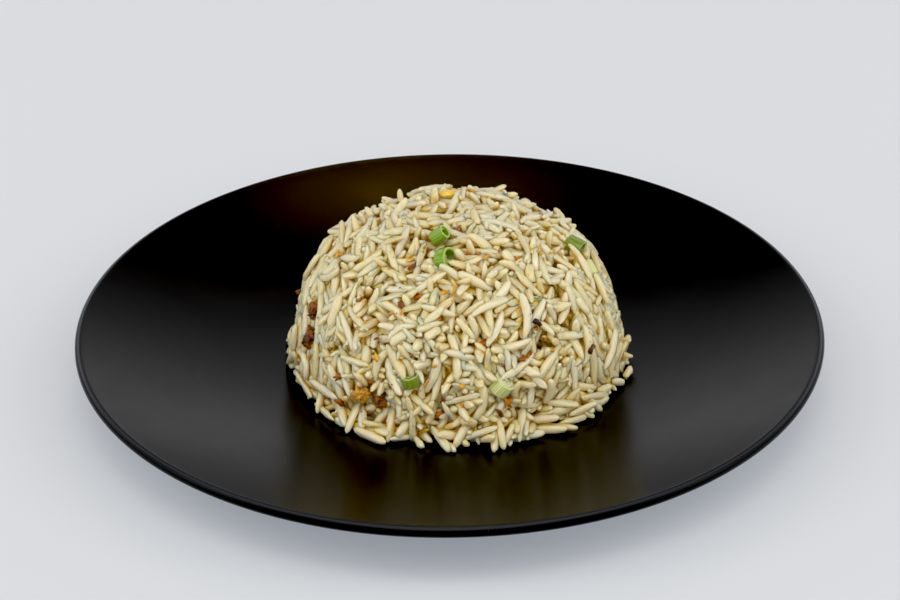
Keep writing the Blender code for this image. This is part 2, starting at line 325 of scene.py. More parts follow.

# %% [markdown]
# The glaze is a black glass over dark clay. Its base colour is nearly nothing; what one sees is
# reflection, so the roughness matters most. It is slightly uneven, as a fired matt glaze is, with
# cloudy patches, hair-fine scratches from cutlery and a few specks of dust. A fine slate-grey line
# round the lip is a painted highlight, for the light that the rounded lip reflects. The ring that the plate
# stands on is bare, grey-brown clay, because glaze there would stick to the kiln shelf.

# %% The glaze
glaze, tree, shader = new_material("black_satin_glaze", IOR=1.2)
place = add_node(tree, "ShaderNodeTexCoord").outputs["Object"]
cloud = add_node(tree, "ShaderNodeTexNoise", Vector=place, Scale=38.0, Detail=5.0, Roughness=0.6).outputs["Fac"]
fine = add_node(tree, "ShaderNodeTexNoise", Vector=place, Scale=900.0, Detail=3.0).outputs["Fac"]
rough = add_node(tree, "ShaderNodeMapRange", Value=cloud, From_Min=0.3, From_Max=0.7, To_Min=0.22, To_Max=0.27)


def scratches(angle, scale, thin):
    """Straight, hair-fine lines in one direction: a noise stretched along it, cut to its crest."""
    turned = add_node(tree, "ShaderNodeMapping", Vector=place, Rotation=(0.0, 0.0, angle),
                      Scale=(scale, scale * 0.03, 1.0))
    lines = add_node(tree, "ShaderNodeTexNoise", Vector=turned.outputs["Vector"], Scale=1.0, Detail=1.0)
    return add_node(tree, "ShaderNodeMapRange", Value=lines.outputs["Fac"], From_Min=thin, From_Max=thin + 0.02)


marks = add_node(tree, "ShaderNodeMath", {"operation": "MAXIMUM"}, i0=scratches(0.7, 700.0, 0.79).outputs[0],
                 i1=scratches(2.1, 620.0, 0.80).outputs[0])
dust = add_node(tree, "ShaderNodeTexVoronoi", Vector=place, Scale=95.0)
specks = add_node(tree, "ShaderNodeMapRange", Value=dust.outputs["Distance"], From_Min=0.016, From_Max=0.010)
blemish = add_node(tree, "ShaderNodeMath", {"operation": "MAXIMUM"}, i0=specks.outputs[0],
                   i1=add_node(tree, "ShaderNodeMath", {"operation": "MULTIPLY"}, i0=marks.outputs[0], i1=0.25))
black = mix_colour(tree, blemish.outputs[0], (0.0012, 0.0011, 0.0010), (0.035, 0.034, 0.032))
level = add_node(tree, "ShaderNodeVectorMath", {"operation": "MULTIPLY"}, i0=place, i1=(1.0, 1.0, 0.0))
radius = add_node(tree, "ShaderNodeVectorMath", {"operation": "LENGTH"}, i0=level.outputs["Vector"]).outputs["Value"]
# painted highlight: a fine slate-grey line painted all round the lip, close to its edge
from_edge = add_node(tree, "ShaderNodeMath", {"operation": "SUBTRACT"}, i0=radius, i1=PLATE_RADIUS - 1.3 * MM)
off_line = add_node(tree, "ShaderNodeMath", {"operation": "ABSOLUTE"}, i0=from_edge)
painted_lip_highlight = add_node(tree, "ShaderNodeMapRange", Value=off_line, From_Min=0.7 * MM, From_Max=0.15 * MM,
                      To_Min=0.0, To_Max=0.9)
black = mix_colour(tree, painted_lip_highlight.outputs[0], black, (0.040, 0.043, 0.050))
height = add_node(tree, "ShaderNodeSeparateXYZ", Vector=place).outputs["Z"]
bare = add_node(tree, "ShaderNodeMapRange", Value=height, From_Min=0.9 * MM, From_Max=0.6 * MM)
clay = ramp(tree, fine, (0.35, (0.10, 0.085, 0.07)), (0.65, (0.17, 0.15, 0.125)))
tree.links.new(mix_colour(tree, bare.outputs[0], black, clay), shader.inputs["Base Color"])
final_rough = add_node(tree, "ShaderNodeMix", i0=bare.outputs[0], i2=rough.outputs[0], i3=0.85)
tree.links.new(final_rough.outputs[0], shader.inputs["Roughness"])
relief = add_node(tree, "ShaderNodeBump", Height=fine, Strength=0.10, Distance=0.00002)
tree.links.new(relief.outputs["Normal"], shader.inputs["Normal"])
plate.data.materials.append(glaze)
finish_piece(plate, "plate_glaze", "plate")
print("glaze nodes:", len(tree.nodes))

# %% [markdown]
# The heap was pressed into a bowl and turned out. Its outline is a superellipse: rounder than a
# cylinder and straighter than a ball. Knowing how far any point lies inside that outline, and which
# way is out, is all that is needed to press grains against it. From here to the meshes, the heap is
# worked out in millimetres from the middle of its foot.

# %% The outline of the mould
dome_low, dome_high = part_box("rice_dome")
DOME_MIDDLE = np.array([2.9, -1.4, 9.2])
MOULD_RADIUS = 60.9
MOULD_HEIGHT = 56.8
MOULD_POWER = 2.6
print("box of the heap, mm:", [round(v / MM, 1) for v in (*dome_low, *dome_high)])


def outline(points):
    """How far points lie outside the mould, which is negative inside, and the way out."""
    flat = np.hypot(points[:, 0], points[:, 1]) + 1e-6
    level = np.maximum(points[:, 2], 0.0) + 1e-6
    share = ((flat / MOULD_RADIUS) ** MOULD_POWER + (level / MOULD_HEIGHT) ** MOULD_POWER) ** (1 / MOULD_POWER)
    steep_flat = (flat / MOULD_RADIUS) ** (MOULD_POWER - 1) / MOULD_RADIUS * share ** (1 - MOULD_POWER)
    steep_up = (level / MOULD_HEIGHT) ** (MOULD_POWER - 1) / MOULD_HEIGHT * share ** (1 - MOULD_POWER)
    steep = np.hypot(steep_flat, steep_up)
    way = np.stack((steep_flat * points[:, 0] / flat, steep_flat * points[:, 1] / flat, steep_up), axis=1)
    return (share - 1.0) / steep, way / steep[:, None]


def plate_level(points):
    """Height of the plate under points of the heap."""
    radius = np.hypot(points[:, 0] + DOME_MIDDLE[0], points[:, 1] + DOME_MIDDLE[1])
    return plate_top(radius * MM) / MM - DOME_MIDDLE[2]


def unit(vectors):
    return vectors / np.linalg.norm(vectors, axis=1)[:, None]


# %% [markdown]
# Cooked basmati is 9 to 16 mm long and about 3 mm thick. Only the outer three layers show,
# so only they are made, over a core. Neighbouring grains lean the same way, because they were stirred
# and pressed together: a slow noise gives each its direction and a random turn blurs it. The sides of
# a bowl press grains flat and upright. The front and top tore a little as the bowl came off, so grains
# there sit at uneven depths, their ends stand out and a few lie loose on top.

# %% Scatter the grains
random = np.random.default_rng(21)
GRAINS = 3200
LOOSE_GRAINS = 190
TOP_GRAINS = 300
SHELL_DEPTH = 9.5


def slow_noise(points, size, shift=0.0):
    offset = Vector((shift, shift, shift))
    return np.array([noise.noise(Vector(p / size) + offset) for p in points])


def step_up(values, low, high):
    share = np.clip((values - low) / (high - low), 0.0, 1.0)
    return share * share * (3.0 - 2.0 * share)


def torn_share(points):
    """1 where the surface tore, at the front and the top; near 0 where the bowl left it smooth."""
    smooth = step_up(np.abs(points[:, 0]) / MOULD_RADIUS, 0.5, 0.85)
    return (1.0 - 0.8 * smooth) * step_up(-points[:, 1] / MOULD_RADIUS + 0.9 * points[:, 2] / MOULD_HEIGHT, -0.2, 0.5)


def surface_dip(points):
    """How far the heap's surface lies under the mould: hollows and a finer unevenness."""
    hollows = step_up(slow_noise(points, 12.0, 5.0), 0.0, 0.45) * 4.8
    return torn_share(points) * (hollows + slow_noise(points, 6.5, 7.0) * 3.2) + 0.2


def scatter_shell(count):
    found = np.empty((0, 3))
    while len(found) < count:
        tries = random.uniform((-MOULD_RADIUS, -MOULD_RADIUS, 0.0), (MOULD_RADIUS, MOULD_RADIUS, MOULD_HEIGHT),
                               (6000, 3))
        depth, _ = outline(tries)
        tries = tries[(depth < 0.0) & (depth > -SHELL_DEPTH) & (tries[:, 2] > 1.0)]
        depth, _ = outline(tries)
        found = np.concatenate((found, tries[depth < -1.1 - surface_dip(tries)]))
    return found[:count]


def scatter_over(count):
    """Places just above the heap's surface, most of them where it tore, clear of the toppings."""
    boxes = [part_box(name) for name in frame["nodes"] if name not in ("plate", "rice_dome")]
    toppings = np.array([0.5 * (np.array(low) + np.array(high)) / MM for low, high in boxes]) - DOME_MIDDLE
    found = np.empty((0, 3))
    while len(found) < count:
        tries = scatter_shell(count)
        depth, way = outline(tries)
        lifted = tries + way * (-depth - surface_dip(tries) + 1.2)[:, None]
        nearest = np.linalg.norm(lifted[:, None, :] - toppings[None, :, :], axis=2).min(axis=1)
        kept = (random.uniform(0.0, 1.0, count) < 0.15 + 0.85 * torn_share(tries)) & (nearest > 7.0)
        found = np.concatenate((found, lifted[kept]))
    return found[:count]


middle = scatter_shell(GRAINS)
angle = random.uniform(0.0, 2.0 * pi, LOOSE_GRAINS)
reach = MOULD_RADIUS + random.uniform(-2.5, 3.2, LOOSE_GRAINS) - 1.8 * np.sin(angle)
ring = np.stack((reach * np.cos(angle), reach * np.sin(angle), np.zeros(LOOSE_GRAINS)), axis=1)
ring[:, 2] = plate_level(ring) + random.uniform(1.2, 10.0, LOOSE_GRAINS)
fallen = scatter_over(TOP_GRAINS)
middle = np.concatenate((middle, ring, fallen))
count = len(middle)
loose = (np.arange(count) >= GRAINS) & (np.arange(count) < GRAINS + LOOSE_GRAINS)
on_top = np.arange(count) >= GRAINS + LOOSE_GRAINS

kind = random.choice(3, count, p=(0.44, 0.42, 0.14))        # straight, curved, broken
length = random.normal(13.2, 1.8, count).clip(9.0, 16.5)
length = np.where(kind == 2, random.uniform(5.0, 8.0, count), length)
width = random.normal(3.0, 0.34, count).clip(2.3, 3.7)

_, outward = outline(middle)
level_way = unit(np.stack((-middle[:, 1], middle[:, 0], np.zeros(count)), axis=1))
slope_way = np.cross(outward, level_way)
torn = torn_share(middle)
turn = slow_noise(middle, 15.0) * 2.6 * pi + random.normal(0.0, 0.24, count)
steep = random.uniform(0.0, 1.0, count) < 0.85 - 0.85 * torn
lean = 0.35 * (middle[:, 0] < 0.0) + random.normal(0.0, 0.35, count)
turn = np.where(steep, pi / 2 + lean, turn)
tip = random.normal(0.0, 1.0, count) * (0.14 + 0.62 * torn)
flat_turn = slow_noise(middle, 8.0, 9.0) * 2.4 * pi + random.normal(0.0, 0.3, count)
turn = np.where(loose, random.normal(0.0, 0.5, count), turn)
tip = np.where(loose, flat_turn.clip(-1.4, 1.4), tip)
along = (level_way * np.cos(turn)[:, None] + slope_way * np.sin(turn)[:, None]) * np.cos(tip)[:, None]
along = unit(along + outward * np.sin(tip)[:, None])
stand_out = random.exponential(0.35, count).clip(0.0, 1.6) + torn * random.uniform(-2.0, 3.6, count)
allowed = (stand_out - surface_dip(middle)).clip(-6.0, 3.6)
allowed = np.where(on_top, 2.2 + random.exponential(0.6, count).clip(0.0, 1.5) - 0.9 * surface_dip(middle), allowed)
frontward = (-middle[:, 1] / MOULD_RADIUS).clip(-0.5, 1.0)
allowed = np.where(loose, 2.6 + 2.2 * frontward + 6.0 * slow_noise(middle, 8.0, 3.0).clip(-0.4, 0.5), allowed)
print("grains:", count, "of which loose at the foot:", int(loose.sum()), "and on top:", int(on_top.sum()))

# %% [markdown]
# Soft grains press into each other only a little. Each is treated as a row of six balls, thinner
# than the grain. Where two balls overlap, both grains are moved and turned apart, as stiff rods would
# be: a push near an end turns a grain more than it moves it. Balls that stick out of the mould are pushed back in, the toppings stay
# where they are, and a light pressure from inside keeps the outer layer tight. A couple of hundred
# rounds leave a heap that looks pressed, with grains that only just bite into each other.

# %% Settle the heap
BALLS = 6
ROUNDS = 170
TALLEST = (cad_box[1][2] - 0.0009) / MM - DOME_MIDDLE[2]
station = np.linspace(-1.0, 1.0, BALLS)
ball_radius = 0.38 * width[:, None] * np.array([0.66, 0.90, 1.0, 1.0, 0.90, 0.66])[None, :]
half_length = 0.5 * length - ball_radius[:, 0]


LAPPED = {"spring_onion_1": 0.85, "spring_onion_2": 0.8, "spring_onion_3": 0.85, "spring_onion_4": 0.6,
          "spring_onion_5": 0.85, "spring_onion_6": 0.8, "browned_shallot_4": 0.05, "egg_piece_1": 0.8}


def topping_balls():
    """Small fixed balls just inside every topping's surface, so that grains may lap over its edges."""
    places = []
    for name, node in frame["nodes"].items():
        if name in ("plate", "rice_dome"):
            continue
        corners = np.array([v.co for v in node.data.vertices]) / MM
        middles = np.array([f.center for f in node.data.polygons]) / MM
        points = np.concatenate((np.unique(corners.round(2), axis=0), middles))
        shrunk = LAPPED.get(name, 0.5)
        places.append(points.mean(axis=0) + shrunk * (points - points.mean(axis=0)))
    return np.concatenate(places) - DOME_MIDDLE


def near_pairs(balls, owner, reach):
    """Every pair of balls of different grains that lie within reach, found through a grid."""
    cells = ((balls - balls.min(axis=0)) / reach).astype(np.int64) + 1
    span = cells.max(axis=0) + 2
    key = (cells[:, 0] * span[1] + cells[:, 1]) * span[2] + cells[:, 2]
    order = np.argsort(key, kind="stable")
    ranked = key[order]
    firsts = []
    seconds = []
    steps = [(x, y, z) for x in (-1, 0, 1) for y in (-1, 0, 1) for z in (-1, 0, 1) if (x, y, z) >= (0, 0, 0)]
    for x, y, z in steps:
        sought = key + (x * span[1] + y) * span[2] + z
        start = np.searchsorted(ranked, sought, "left")
        stop = np.searchsorted(ranked, sought, "right")
        for extra in range(int((stop - start).max())):
            one = np.nonzero(start + extra < stop)[0]
            two = order[start[one] + extra]
            keep = (owner[one] != owner[two]) & ((one < two) | ((x, y, z) != (0, 0, 0)))
            one, two = one[keep], two[keep]
            close = ((balls[one] - balls[two]) ** 2).sum(axis=1) < reach ** 2
            firsts.append(one[close])
            seconds.append(two[close])
    return np.concatenate(firsts), np.concatenate(seconds)


def settle(middle, along, rounds):
    fixed = topping_balls()
    moving = count * BALLS
    owner = np.concatenate((np.repeat(np.arange(count), BALLS), np.full(len(fixed), count)))
    lever = np.concatenate((np.tile(station, count), np.zeros(len(fixed))))
    reach_out = np.concatenate((np.repeat(half_length, BALLS), np.ones(len(fixed))))
    radius = np.concatenate((ball_radius.ravel(), np.full(len(fixed), 0.45)))
    ease = np.where(owner < count, 1.0 + 3.0 * lever ** 2, 0.0)
    limit = (allowed[:, None] + torn[:, None] * 3.2 * station.clip(0.0, 1.0)[None, :]).ravel()
    for step in range(rounds):
        balls = middle[:, None, :] + (half_length[:, None] * station[None, :])[..., None] * along[:, None, :]
        balls = np.concatenate((balls.reshape(-1, 3), fixed))
        if step % 5 == 0:
            one, two = near_pairs(balls, owner, 3.4)
        apart = balls[one] - balls[two]
        distance = np.sqrt((apart ** 2).sum(axis=1)) + 1e-9
        overlap = radius[one] + radius[two] - distance
        hit = overlap > 0.0
        a, b = one[hit], two[hit]
        push = apart[hit] * (overlap[hit] / (distance[hit] * (ease[a] + ease[b])))[:, None]

        depth, way = outline(balls[:moving])
        out = depth + radius[:moving] - limit
        sunk = -depth - SHELL_DEPTH
        held = np.nonzero((sunk > 0.0) & (balls[:moving, 2] > 2.0))[0]
        out = np.maximum(out, balls[:moving, 2] + radius[:moving] - TALLEST)
        pressed = np.nonzero(out > 0.0)[0]
        under = plate_level(balls[:moving]) + radius[:moving] + 0.35 - balls[:moving, 2]
        lifted = np.nonzero(under > 0.0)[0]
        touched = np.concatenate((a, b, pressed, held, lifted))
        moves = np.concatenate((push, -push, -way[pressed] * (out / ease[:moving])[pressed, None],
                                way[held] * (0.5 * sunk / ease[:moving])[held, None],
                                (under / ease[:moving])[lifted, None] * np.array([[0.0, 0.0, 1.0]])))
        grain = owner[touched]
        spin = 3.0 * lever[touched] / reach_out[touched]
        shift = np.stack([np.bincount(grain, moves[:, k], count + 1)[:count] for k in range(3)], axis=1)
        twist = np.stack([np.bincount(grain, moves[:, k] * spin, count + 1)[:count] for k in range(3)], axis=1)
        calm = 1.35 / np.maximum(np.bincount(grain, minlength=count + 1)[:count], 1.0) ** 0.75
        middle = middle + shift * calm[:, None]
        twist -= along * (twist * along).sum(axis=1)[:, None]
        along = unit(along + twist * calm[:, None])
        if step < 0.6 * rounds:
            _, way = outline(middle)
            press = np.where(on_top, -0.04, 0.04 - 0.04 * torn)[:, None] * way
            middle = middle + np.where(loose[:, None], 0.03 * way - [0.0, 0.0, 0.06], press)
    print("after", rounds, "rounds: overlap of touching balls, mean",
          round(float(overlap[hit].mean()), 3), "mm, largest", round(float(overlap[hit].max()), 2), "mm")
    return middle, along


middle, along = settle(middle, along, ROUNDS)

# %% [markdown]
# A grain is a spindle: widest in the middle, with one end blunter than the other, a little flatter
# one way, and often bent. A handful of shapes is enough, since each is used at its own size, turn and
# tint. As there are thousands of copies, a shape has only some fifty faces. Each point also keeps
# where it lies in the grain, so that the material can draw streaks along it.

# %% Grain shapes
GRAIN_SIDES = 8


def grain_shape(name, bend, blunt, waist, ridge, kink=0.0):
    """A unit grain from x = -1 to 1: bend bows it, blunt fills one end, waist thins its middle."""
    places = []
    stations = (-0.96, -0.80, -0.42, 0.0, 0.42, 0.80, 0.96)
    for x in stations:
        full = max(0.0, 1.0 - abs(x) ** (2.7 + (blunt if x > 0.0 else 0.0))) ** 0.5
        full *= 1.0 - waist * cos(0.5 * pi * x) ** 2
        for k in range(GRAIN_SIDES):
            angle = 2.0 * pi * k / GRAIN_SIDES
            lump = noise.noise(Vector((2.6 * x, cos(angle), sin(angle))) * 1.3 + Vector((7.0 * bend, blunt, kink)))
            swell = full * (1.0 + 2.0 * ridge * cos(3.0 * angle + 2.0 * x) + 0.40 * lump)
            places.append((x, swell * cos(angle) + bend * (x * x - 0.4) + kink * x ** 3,
                           0.84 * swell * sin(angle)))
    faces = []
    for i in range(len(stations) - 1):
        for k in range(GRAIN_SIDES):
            n = (k + 1) % GRAIN_SIDES
            low, high = i * GRAIN_SIDES, (i + 1) * GRAIN_SIDES
            faces.append((low + k, low + n, high + n, high + k))
    first, last = len(places), len(places) + 1
    places.append((-1.0, bend * 0.6 - kink, 0.0))
    places.append((1.0, bend * 0.6 + kink, 0.0))
    top = (len(stations) - 1) * GRAIN_SIDES
    for k in range(GRAIN_SIDES):
        n = (k + 1) % GRAIN_SIDES
        faces.append((first, n, k))
        faces.append((last, top + k, top + n))
    thing = mesh_object(name, places, faces)
    own = thing.data.attributes.new("grain_place", "FLOAT_VECTOR", "POINT")
    own.data.foreach_set("vector", np.array(places, dtype=np.float32).ravel())
    return thing


def shape_collection(name, shapes):
    """The shapes in a collection of their own, for Geometry Nodes to pick from by number."""
    group = bpy.data.collections.new(name)
    for thing in shapes:
        bpy.context.scene.collection.objects.unlink(thing)
        group.objects.link(thing)
    return group


SHAPES = [
    shape_collection("straight_grains", [grain_shape("straight_a", 0.10, 0.7, 0.0, 0.03),
                                         grain_shape("straight_b", 0.25, 0.4, 0.04, 0.05),
                                         grain_shape("straight_c", -0.15, 0.0, 0.0, 0.02, 0.15),
                                         grain_shape("straight_d", 0.05, 1.3, 0.06, 0.06)]),
    shape_collection("curved_grains", [grain_shape("curved_a", 0.85, 0.6, 0.0, 0.04),
                                       grain_shape("curved_b", 1.35, 1.0, 0.05, 0.03),
                                       grain_shape("curved_c", 0.60, 0.0, 0.0, 0.05, 0.45)]),
    shape_collection("broken_grains", [grain_shape("broken_a", 0.10, 3.5, 0.0, 0.05),
                                       grain_shape("broken_b", 0.30, 2.0, 0.05, 0.08)]),
]

# %% [markdown]
# Geometry Nodes put a shape on every point. The points carry their own turn, size and shape number as
# attributes, and the tree adds a random tint, realizes the copies and sets the material. The same
# tree serves the crumbs and specks later on.

# %% The scattering tree
def scattering_tree():
    tree = bpy.data.node_groups.new("scatter_shapes", "GeometryNodeTree")
    wires = tree.interface
    wires.new_socket("Points", in_out="INPUT", socket_type="NodeSocketGeometry")
    wires.new_socket("Shapes", in_out="INPUT", socket_type="NodeSocketCollection")
    seed = wires.new_socket("Tint seed", in_out="INPUT", socket_type="NodeSocketInt")
    seed.default_value = 1
    wires.new_socket("Material", in_out="INPUT", socket_type="NodeSocketMaterial")
    wires.new_socket("Mesh", in_out="OUTPUT", socket_type="NodeSocketGeometry")
    given = add_node(tree, "NodeGroupInput").outputs
    shapes = add_node(tree, "GeometryNodeCollectionInfo", Collection=given["Shapes"],
                      Separate_Children=True, Reset_Children=True)
    turn = add_node(tree, "GeometryNodeInputNamedAttribute", {"data_type": "FLOAT_VECTOR"}, Name="turn")
    size = add_node(tree, "GeometryNodeInputNamedAttribute", {"data_type": "FLOAT_VECTOR"}, Name="size")
    number = add_node(tree, "GeometryNodeInputNamedAttribute", {"data_type": "INT"}, Name="shape")
    turned = add_node(tree, "FunctionNodeEulerToRotation", Euler=turn.outputs["Attribute"])
    placed = add_node(tree, "GeometryNodeInstanceOnPoints", Points=given["Points"],
                      Instance=shapes.outputs["Instances"], Pick_Instance=True,
                      Instance_Index=number.outputs["Attribute"], Rotation=turned.outputs["Rotation"],
                      Scale=size.outputs["Attribute"])
    chance = add_node(tree, "FunctionNodeRandomValue", {"data_type": "FLOAT"}, Seed=given["Tint seed"])
    tinted = add_node(tree, "GeometryNodeStoreNamedAttribute", {"data_type": "FLOAT", "domain": "INSTANCE"},
                      Geometry=placed.outputs["Instances"], Name="tint", Value=chance.outputs[1])
    real = add_node(tree, "GeometryNodeRealizeInstances", Geometry=tinted.outputs["Geometry"])
    painted = add_node(tree, "GeometryNodeSetMaterial", Geometry=real.outputs["Geometry"],
                       Material=given["Material"])
    add_node(tree, "NodeGroupOutput", Mesh=painted.outputs["Geometry"])
    return tree


SCATTER = scattering_tree()


def turns_of(along, outward, roll):
    """Euler angles that lay a shape's X along a direction and its Z as near outwards as fits."""
    up = unit(outward - along * (outward * along).sum(axis=1)[:, None])
    side = np.cross(up, along)
    z_way = up * np.cos(roll)[:, None] + side * np.sin(roll)[:, None]
    y_way = np.cross(z_way, along)
    return np.stack((np.arctan2(y_way[:, 2], z_way[:, 2]), np.arcsin(np.clip(-along[:, 2], -1.0, 1.0)),
                     np.arctan2(along[:, 1], along[:, 0])), axis=1)


def scatter(name, places, turns, sizes, numbers, shapes, material, seed):
    """One mesh piece from points in metres, with a shape on each."""
    points = mesh_object(name + "_points", places, [], smooth=False)
    for label, kind_of, values in (("turn", "FLOAT_VECTOR", turns), ("size", "FLOAT_VECTOR", sizes)):
        layer = points.data.attributes.new(label, kind_of, "POINT")
        layer.data.foreach_set("vector", np.asarray(values, dtype=np.float32).ravel())
    layer = points.data.attributes.new("shape", "INT", "POINT")
    layer.data.foreach_set("value", np.asarray(numbers, dtype=np.int32))
    modifier = points.modifiers.new("scatter", "NODES")
    modifier.node_group = SCATTER
    given = {item.name: item.identifier for item in SCATTER.interface.items_tree if item.in_out == "INPUT"}
    modifier[given["Shapes"]] = shapes
    modifier[given["Tint seed"]] = seed
    modifier[given["Material"]] = material
    seen = points.evaluated_get(bpy.context.evaluated_depsgraph_get())
    mesh = bpy.data.meshes.new_from_object(seen)
    mesh.name = name
    piece = bpy.data.objects.new(name, mesh)
    bpy.context.scene.collection.objects.link(piece)
    bpy.data.objects.remove(points)
    print(name + ":", len(places), "copies,", sum(len(f.vertices) - 2 for f in mesh.polygons), "triangles")
    return piece


# %% [markdown]
# Cooked rice is cream, not white: some light goes in, picks up the warm colour and comes out beside
# where it entered, so the gaps between grains glow tan and not black. Oil and seasoning leave
# a yellower bloom in places. Fine streaks along each grain catch the light. Shade is painted into the
# colour as well: grains turn browner with depth under the heap's surface, where other grains cover
# them, on the side that faces in and a little at their ends.

# %% The rice's finish
rice_finish, tree, shader = new_material("cooked_rice", Subsurface_Weight=0.9, Subsurface_Scale=0.004, IOR=1.45,
                                         Specular_IOR_Level=0.25, Coat_Weight=0.7, Coat_Roughness=0.12)
shader.inputs["Subsurface Radius"].default_value = (1.0, 0.7, 0.35)
place = add_node(tree, "ShaderNodeTexCoord").outputs["Object"]
own = add_node(tree, "ShaderNodeAttribute", {"attribute_name": "grain_place"})
tint = add_node(tree, "ShaderNodeAttribute", {"attribute_name": "tint"}).outputs["Fac"]
shift = add_node(tree, "ShaderNodeMath", {"operation": "MULTIPLY"}, i0=tint, i1=61.0)
spread = add_node(tree, "ShaderNodeMapping", Vector=own.outputs["Vector"], Scale=(1.1, 3.2, 3.2))
streaks = add_node(tree, "ShaderNodeTexNoise", {"noise_dimensions": "4D"}, Vector=spread,
                   W=shift, Scale=1.0, Detail=3.0, Roughness=0.6).outputs["Fac"]
cream = ramp(tree, tint, (0.0, (0.74, 0.575, 0.275)), (0.25, (0.785, 0.65, 0.36)), (0.7, (0.805, 0.685, 0.43)),
             (1.0, (0.82, 0.715, 0.51)))
light = add_node(tree, "ShaderNodeMapRange", Value=streaks, From_Min=0.38, From_Max=0.72, To_Min=0.0, To_Max=0.6)
coloured = mix_colour(tree, light, cream, (0.81, 0.735, 0.56))
bloom = add_node(tree, "ShaderNodeTexNoise", Vector=place, Scale=170.0, Detail=3.0, Roughness=0.65).outputs["Fac"]
oily = add_node(tree, "ShaderNodeMapRange", Value=bloom, From_Min=0.56, From_Max=0.74, To_Min=0.0, To_Max=0.5)
coloured = mix_colour(tree, oily, coloured, (0.74, 0.55, 0.20))
lies = add_node(tree, "ShaderNodeSeparateXYZ", Vector=own.outputs["Vector"])
# painted shade: the ends of a grain, which mostly lie in gaps, are a little browner
far_end = add_node(tree, "ShaderNodeMath", {"operation": "ABSOLUTE"}, i0=lies.outputs["X"])
ends = add_node(tree, "ShaderNodeMapRange", Value=far_end, From_Min=0.55, From_Max=1.0, To_Min=0.0, To_Max=0.08)
coloured = mix_colour(tree, ends, coloured, (0.70, 0.54, 0.24))
# painted shade: the side of a grain that faces into the heap is browner
under = add_node(tree, "ShaderNodeMapRange", Value=lies.outputs["Z"], From_Min=0.4, From_Max=-0.7, To_Min=0.0,
                 To_Max=0.25)
coloured = mix_colour(tree, under, coloured, (0.68, 0.47, 0.13))
# painted shade: the deeper a point lies under the heap's surface, the browner its colour
deep = add_node(tree, "ShaderNodeAttribute", {"attribute_name": "deep"}).outputs["Fac"]
painted_depth_shade = add_node(tree, "ShaderNodeMapRange", Value=deep, From_Min=0.6, From_Max=5.0, To_Min=0.0, To_Max=0.9)
coloured = mix_colour(tree, painted_depth_shade, coloured, (0.79, 0.45, 0.03))
# painted shade: where other grains cover a point, its colour turns a deep yellow-brown
covered = add_node(tree, "ShaderNodeAttribute", {"attribute_name": "covered"}).outputs["Fac"]
painted_cover_shade = add_node(tree, "ShaderNodeMapRange", Value=covered, From_Min=0.25, From_Max=1.0, To_Min=0.0, To_Max=0.9)
coloured = mix_colour(tree, painted_cover_shade, coloured, (0.83, 0.48, 0.02))
tree.links.new(coloured, shader.inputs["Base Color"])
gloss = add_node(tree, "ShaderNodeMapRange", Value=streaks, From_Min=0.3, From_Max=0.7, To_Min=0.30, To_Max=0.5)
tree.links.new(gloss.outputs[0], shader.inputs["Roughness"])
bump = add_node(tree, "ShaderNodeBump", Height=streaks, Strength=0.8, Distance=0.0004)
tree.links.new(bump.outputs["Normal"], shader.inputs["Normal"])
print("rice finish nodes:", len(tree.nodes))

# %% Lay the grains
def mark_depth(piece):
    """Each point keeps how far it lies under the heap's surface, for the painted shade in the gaps."""
    spots = np.empty(3 * len(piece.data.vertices))
    piece.data.vertices.foreach_get("co", spots)
    spots = spots.reshape(-1, 3) / MM - DOME_MIDDLE
    depth, _ = outline(spots)
    point_attribute(piece, "deep", -depth - surface_dip(spots))


_, outward = outline(middle)
turns = turns_of(along, outward, random.normal(0.0, 0.5, count))
sizes = 0.535 * np.stack((length, width, width), axis=1) * MM
places = (middle + DOME_MIDDLE) * MM
shape_number = random.integers(0, 1000, count)
for group, name in enumerate(("rice_straight_grains", "rice_curved_grains", "rice_broken_grains")):
    chosen = (kind == group) & ~loose
    numbers = shape_number[chosen] % len(SHAPES[group].objects)
    piece = scatter(name, places[chosen], turns[chosen], sizes[chosen], numbers, SHAPES[group], rice_finish,
                    11 + group)
    mark_depth(piece)
    finish_piece(piece, "rice")
numbers = shape_number[loose] % len(SHAPES[0].objects)
piece = scatter("rice_loose_grains", places[loose], turns[loose], sizes[loose], numbers, SHAPES[0], rice_finish, 31)
mark_depth(piece)
finish_piece(piece, "rice")

# %% [markdown]
# Under the grains lies a core: the same outline some millimetres further in, dimpled as a packed
# mass of grains is. It is seen only through gaps, and its colour is painted shade: darker and browner than a grain's.

# %% The core of the heap
CORE_DEPTH = 6.4
core_mesh = bpy.data.meshes.new("rice_core")
shape = bmesh.new()
bmesh.ops.create_icosphere(shape, subdivisions=7, radius=1.0)
for vertex in shape.verts:
    way = vertex.co.normalized()
    flat = sqrt(way.x ** 2 + way.y ** 2)
    level = max(way.z, 0.0)
    share = ((flat / MOULD_RADIUS) ** MOULD_POWER + (level / MOULD_HEIGHT) ** MOULD_POWER) ** (1 / MOULD_POWER)
    spot = way * (1.0 - CORE_DEPTH / MOULD_RADIUS) / max(share, 1e-4)
    spot -= way * float(surface_dip(np.array([spot]))[0])
    bumps = noise.noise(spot / 2.2) * 0.7 + noise.noise(spot / 5.0) * 0.6
    spot = spot + way * bumps
    if way.z < 0.0:
        spot = spot * (1.0 / max(1.0, spot.xy.length / (MOULD_RADIUS - CORE_DEPTH - 1.0)))
        spot.z = -20.0
    vertex.co = spot
points = np.array([v.co for v in shape.verts])
floor_level = plate_level(points) + 0.35
for vertex, lowest in zip(shape.verts, floor_level):
    vertex.co.z = max(vertex.co.z, lowest)
    vertex.co = (vertex.co + Vector(DOME_MIDDLE)) * MM
shape.to_mesh(core_mesh)
shape.free()
core_mesh.shade_smooth()
core = bpy.data.objects.new("rice_core", core_mesh)
bpy.context.scene.collection.objects.link(core)
